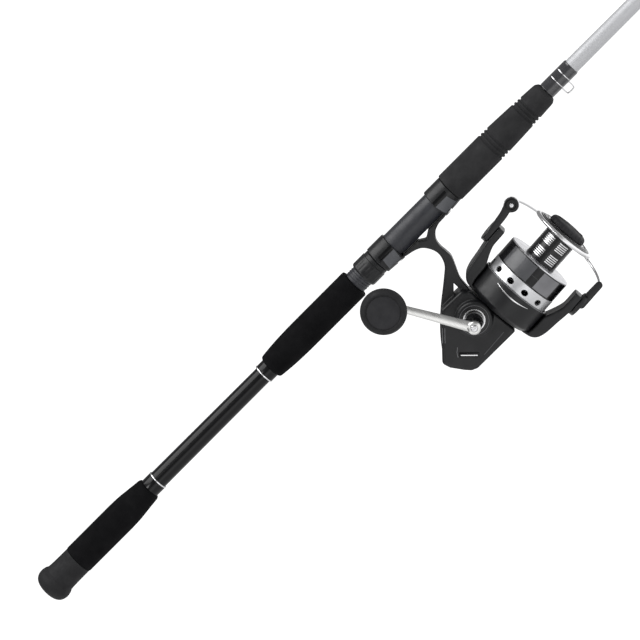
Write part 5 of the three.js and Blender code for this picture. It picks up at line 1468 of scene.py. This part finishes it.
# %% [markdown]
# ## Crank handle
# A graphite shank comes out of the boss, an aluminium arm is screwed to it, and a rubber
# knob spins on a riveted spindle at its end. The arm is a tapered bar, nearly round, with
# a polished round boss; the knob is a turned mushroom with an inset disc in its face.

# %% Shank and arm
shank = rounded([(28.6, 2.1), (28.6, 8.35), (37, 8.3), (45, 7.4), (59.7, 6.2), (59.7, 2.1)], 0.5)
paint(turned("handle_shank_skin", shank + [shank[0]], CRANK, 72), "gloss", "crank", "graphite",
      "handle_shank")
arm_y = -63.0
ends = Vector((crank_x, arm_y, crank_z)), Vector((knob_point.x / MM, arm_y, knob_point.z / MM))
steps = 24
arm_path = [ends[0].lerp(ends[1], 0.02 + 0.98 * i / steps) for i in range(steps + 1)]
arm_radii = [5.2 - 1.9 * (i / steps) ** 0.8 for i in range(steps + 1)]
arm_bar = swept("arm_bar", arm_path, arm_radii, sides=36, flat=0.56)
arm_boss = turned("arm_boss",
                  rounded([(60.05, 0), (60.05, 6.1), (62, 6.35), (65.4, 6.3), (66.9, 5.0),
                           (66.9, 0)], 1.0, 5),
                  CRANK, 72)
arm_end = turned("arm_end",
                 rounded([(60.4, 0), (60.4, 3.2), (61, 3.35), (65.2, 3.35), (65.8, 3.1), (65.8, 0)],
                         0.5, 4),
                 KNOB, 48)
bpy.context.view_layer.update()
arm = cast("handle_arm_skin", [arm_bar, arm_boss, arm_end], 0.4, 4)
cut_away(arm, turned("screw_well", [(65.6, 0), (65.6, 3.6), (69, 3.6), (69, 0)], CRANK, 48))
paint(arm, "aluminium", "crank", "aluminium", "handle_arm")
low, high = (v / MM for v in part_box("arm_screw"))
screw_head = rounded([(61, 0), (61, 1.25), (66, 1.25), (66, 3.2), (-low.y - 0.5, 3.1),
                      (-low.y - 0.02, 2.4),
                      (-low.y - 0.02, 0)], 0.25)
arm_screw = turned("arm_screw_skin", screw_head, CRANK, 48)
end_x = -low.y
slot = plate("slot", [(end_x - 0.7, -0.4), (end_x + 1, -0.4), (end_x + 1, 0.4), (end_x - 0.7, 0.4)],
             -4, 4, CRANK,
             round_by=0)
cut_away(arm_screw, slot)
paint(arm_screw, "steel", "crank", "steel", "arm_screw")

# %% [markdown]
# ### The knob
# The knob swells from a thin neck to a broad face, which sits in the palm. A softer disc is
# set into that face.

# %% Knob
knob_curve = [(106.3, 0), (106.3, 15.6), (106.7, 16.0)]
knob_curve += rounded([(107.3, 16.6), (107.45, 17.6), (105.9, 19.4), (103.6, 20.6), (101.2, 21.3),
                       (98.6, 21.4),
                       (95.8, 20.2), (91.6, 17.4), (86, 13.8), (80.5, 11.0), (75, 9.3), (71, 8.9),
                       (68.1, 8.9),
                       (68.1, 2.9)], 1.2, 4)
knob_curve += [(101.3, 2.9), (101.3, 0)]
knob = turned("handle_knob_skin", knob_curve, KNOB, 128)
paint(knob, "rubber", "knob", "rubber", "handle_knob")
disc_shell = [(105, 0), (105, 15.0), (106.5, 15.0), (106.75, 14.5), (106.7, 8), (106.62, 0)]
paint(turned("knob_face_disc", disc_shell, KNOB, 96), "knob_rubber", "knob", "rubber")
print("knob is", round(2 * 21.4, 1), "mm wide")

# %% [markdown]
# ## Inner works
# Gears, bearings, shaft and washers stay as they came from CAD, because their shapes are
# already exact. They only need the right metal, which the record's slots name.

# %% CAD pieces that stay
SLOT_FINISH = {
    "rubber": "rubber", "foam": "foam", "black_gloss": "gloss", "blank_paint": "silver_lacquer",
    "seat_plastic": "seat_plastic", "graphite": "graphite", "thread": "thread", "steel": "steel",
    "aluminium": "aluminium", "ceramic": "ceramic", "brass": "brass", "spool_metal": "spool_metal",
    "felt": "felt",
}
kept = []
for part in record["subparts"]:
    node = frame["nodes"][part["node"]]
    if node.hide_render:
        continue
    node.data.materials.clear()
    node.data.materials.append(materials[SLOT_FINISH[part["material_slot"]]])
    soften(node, math.radians(30))
    kept.append(part["node"])
print("kept from CAD:", ", ".join(kept))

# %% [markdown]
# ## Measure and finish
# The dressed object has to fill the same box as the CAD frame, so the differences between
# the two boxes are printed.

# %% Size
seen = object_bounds()
for axis, a, b, c, d in zip("XYZ", cad_bounds[0], seen[0], cad_bounds[1], seen[1]):
    print(axis, "low", round((b - a) * 1000, 2), "mm, high", round((d - c) * 1000, 2),
          "mm against the CAD box")
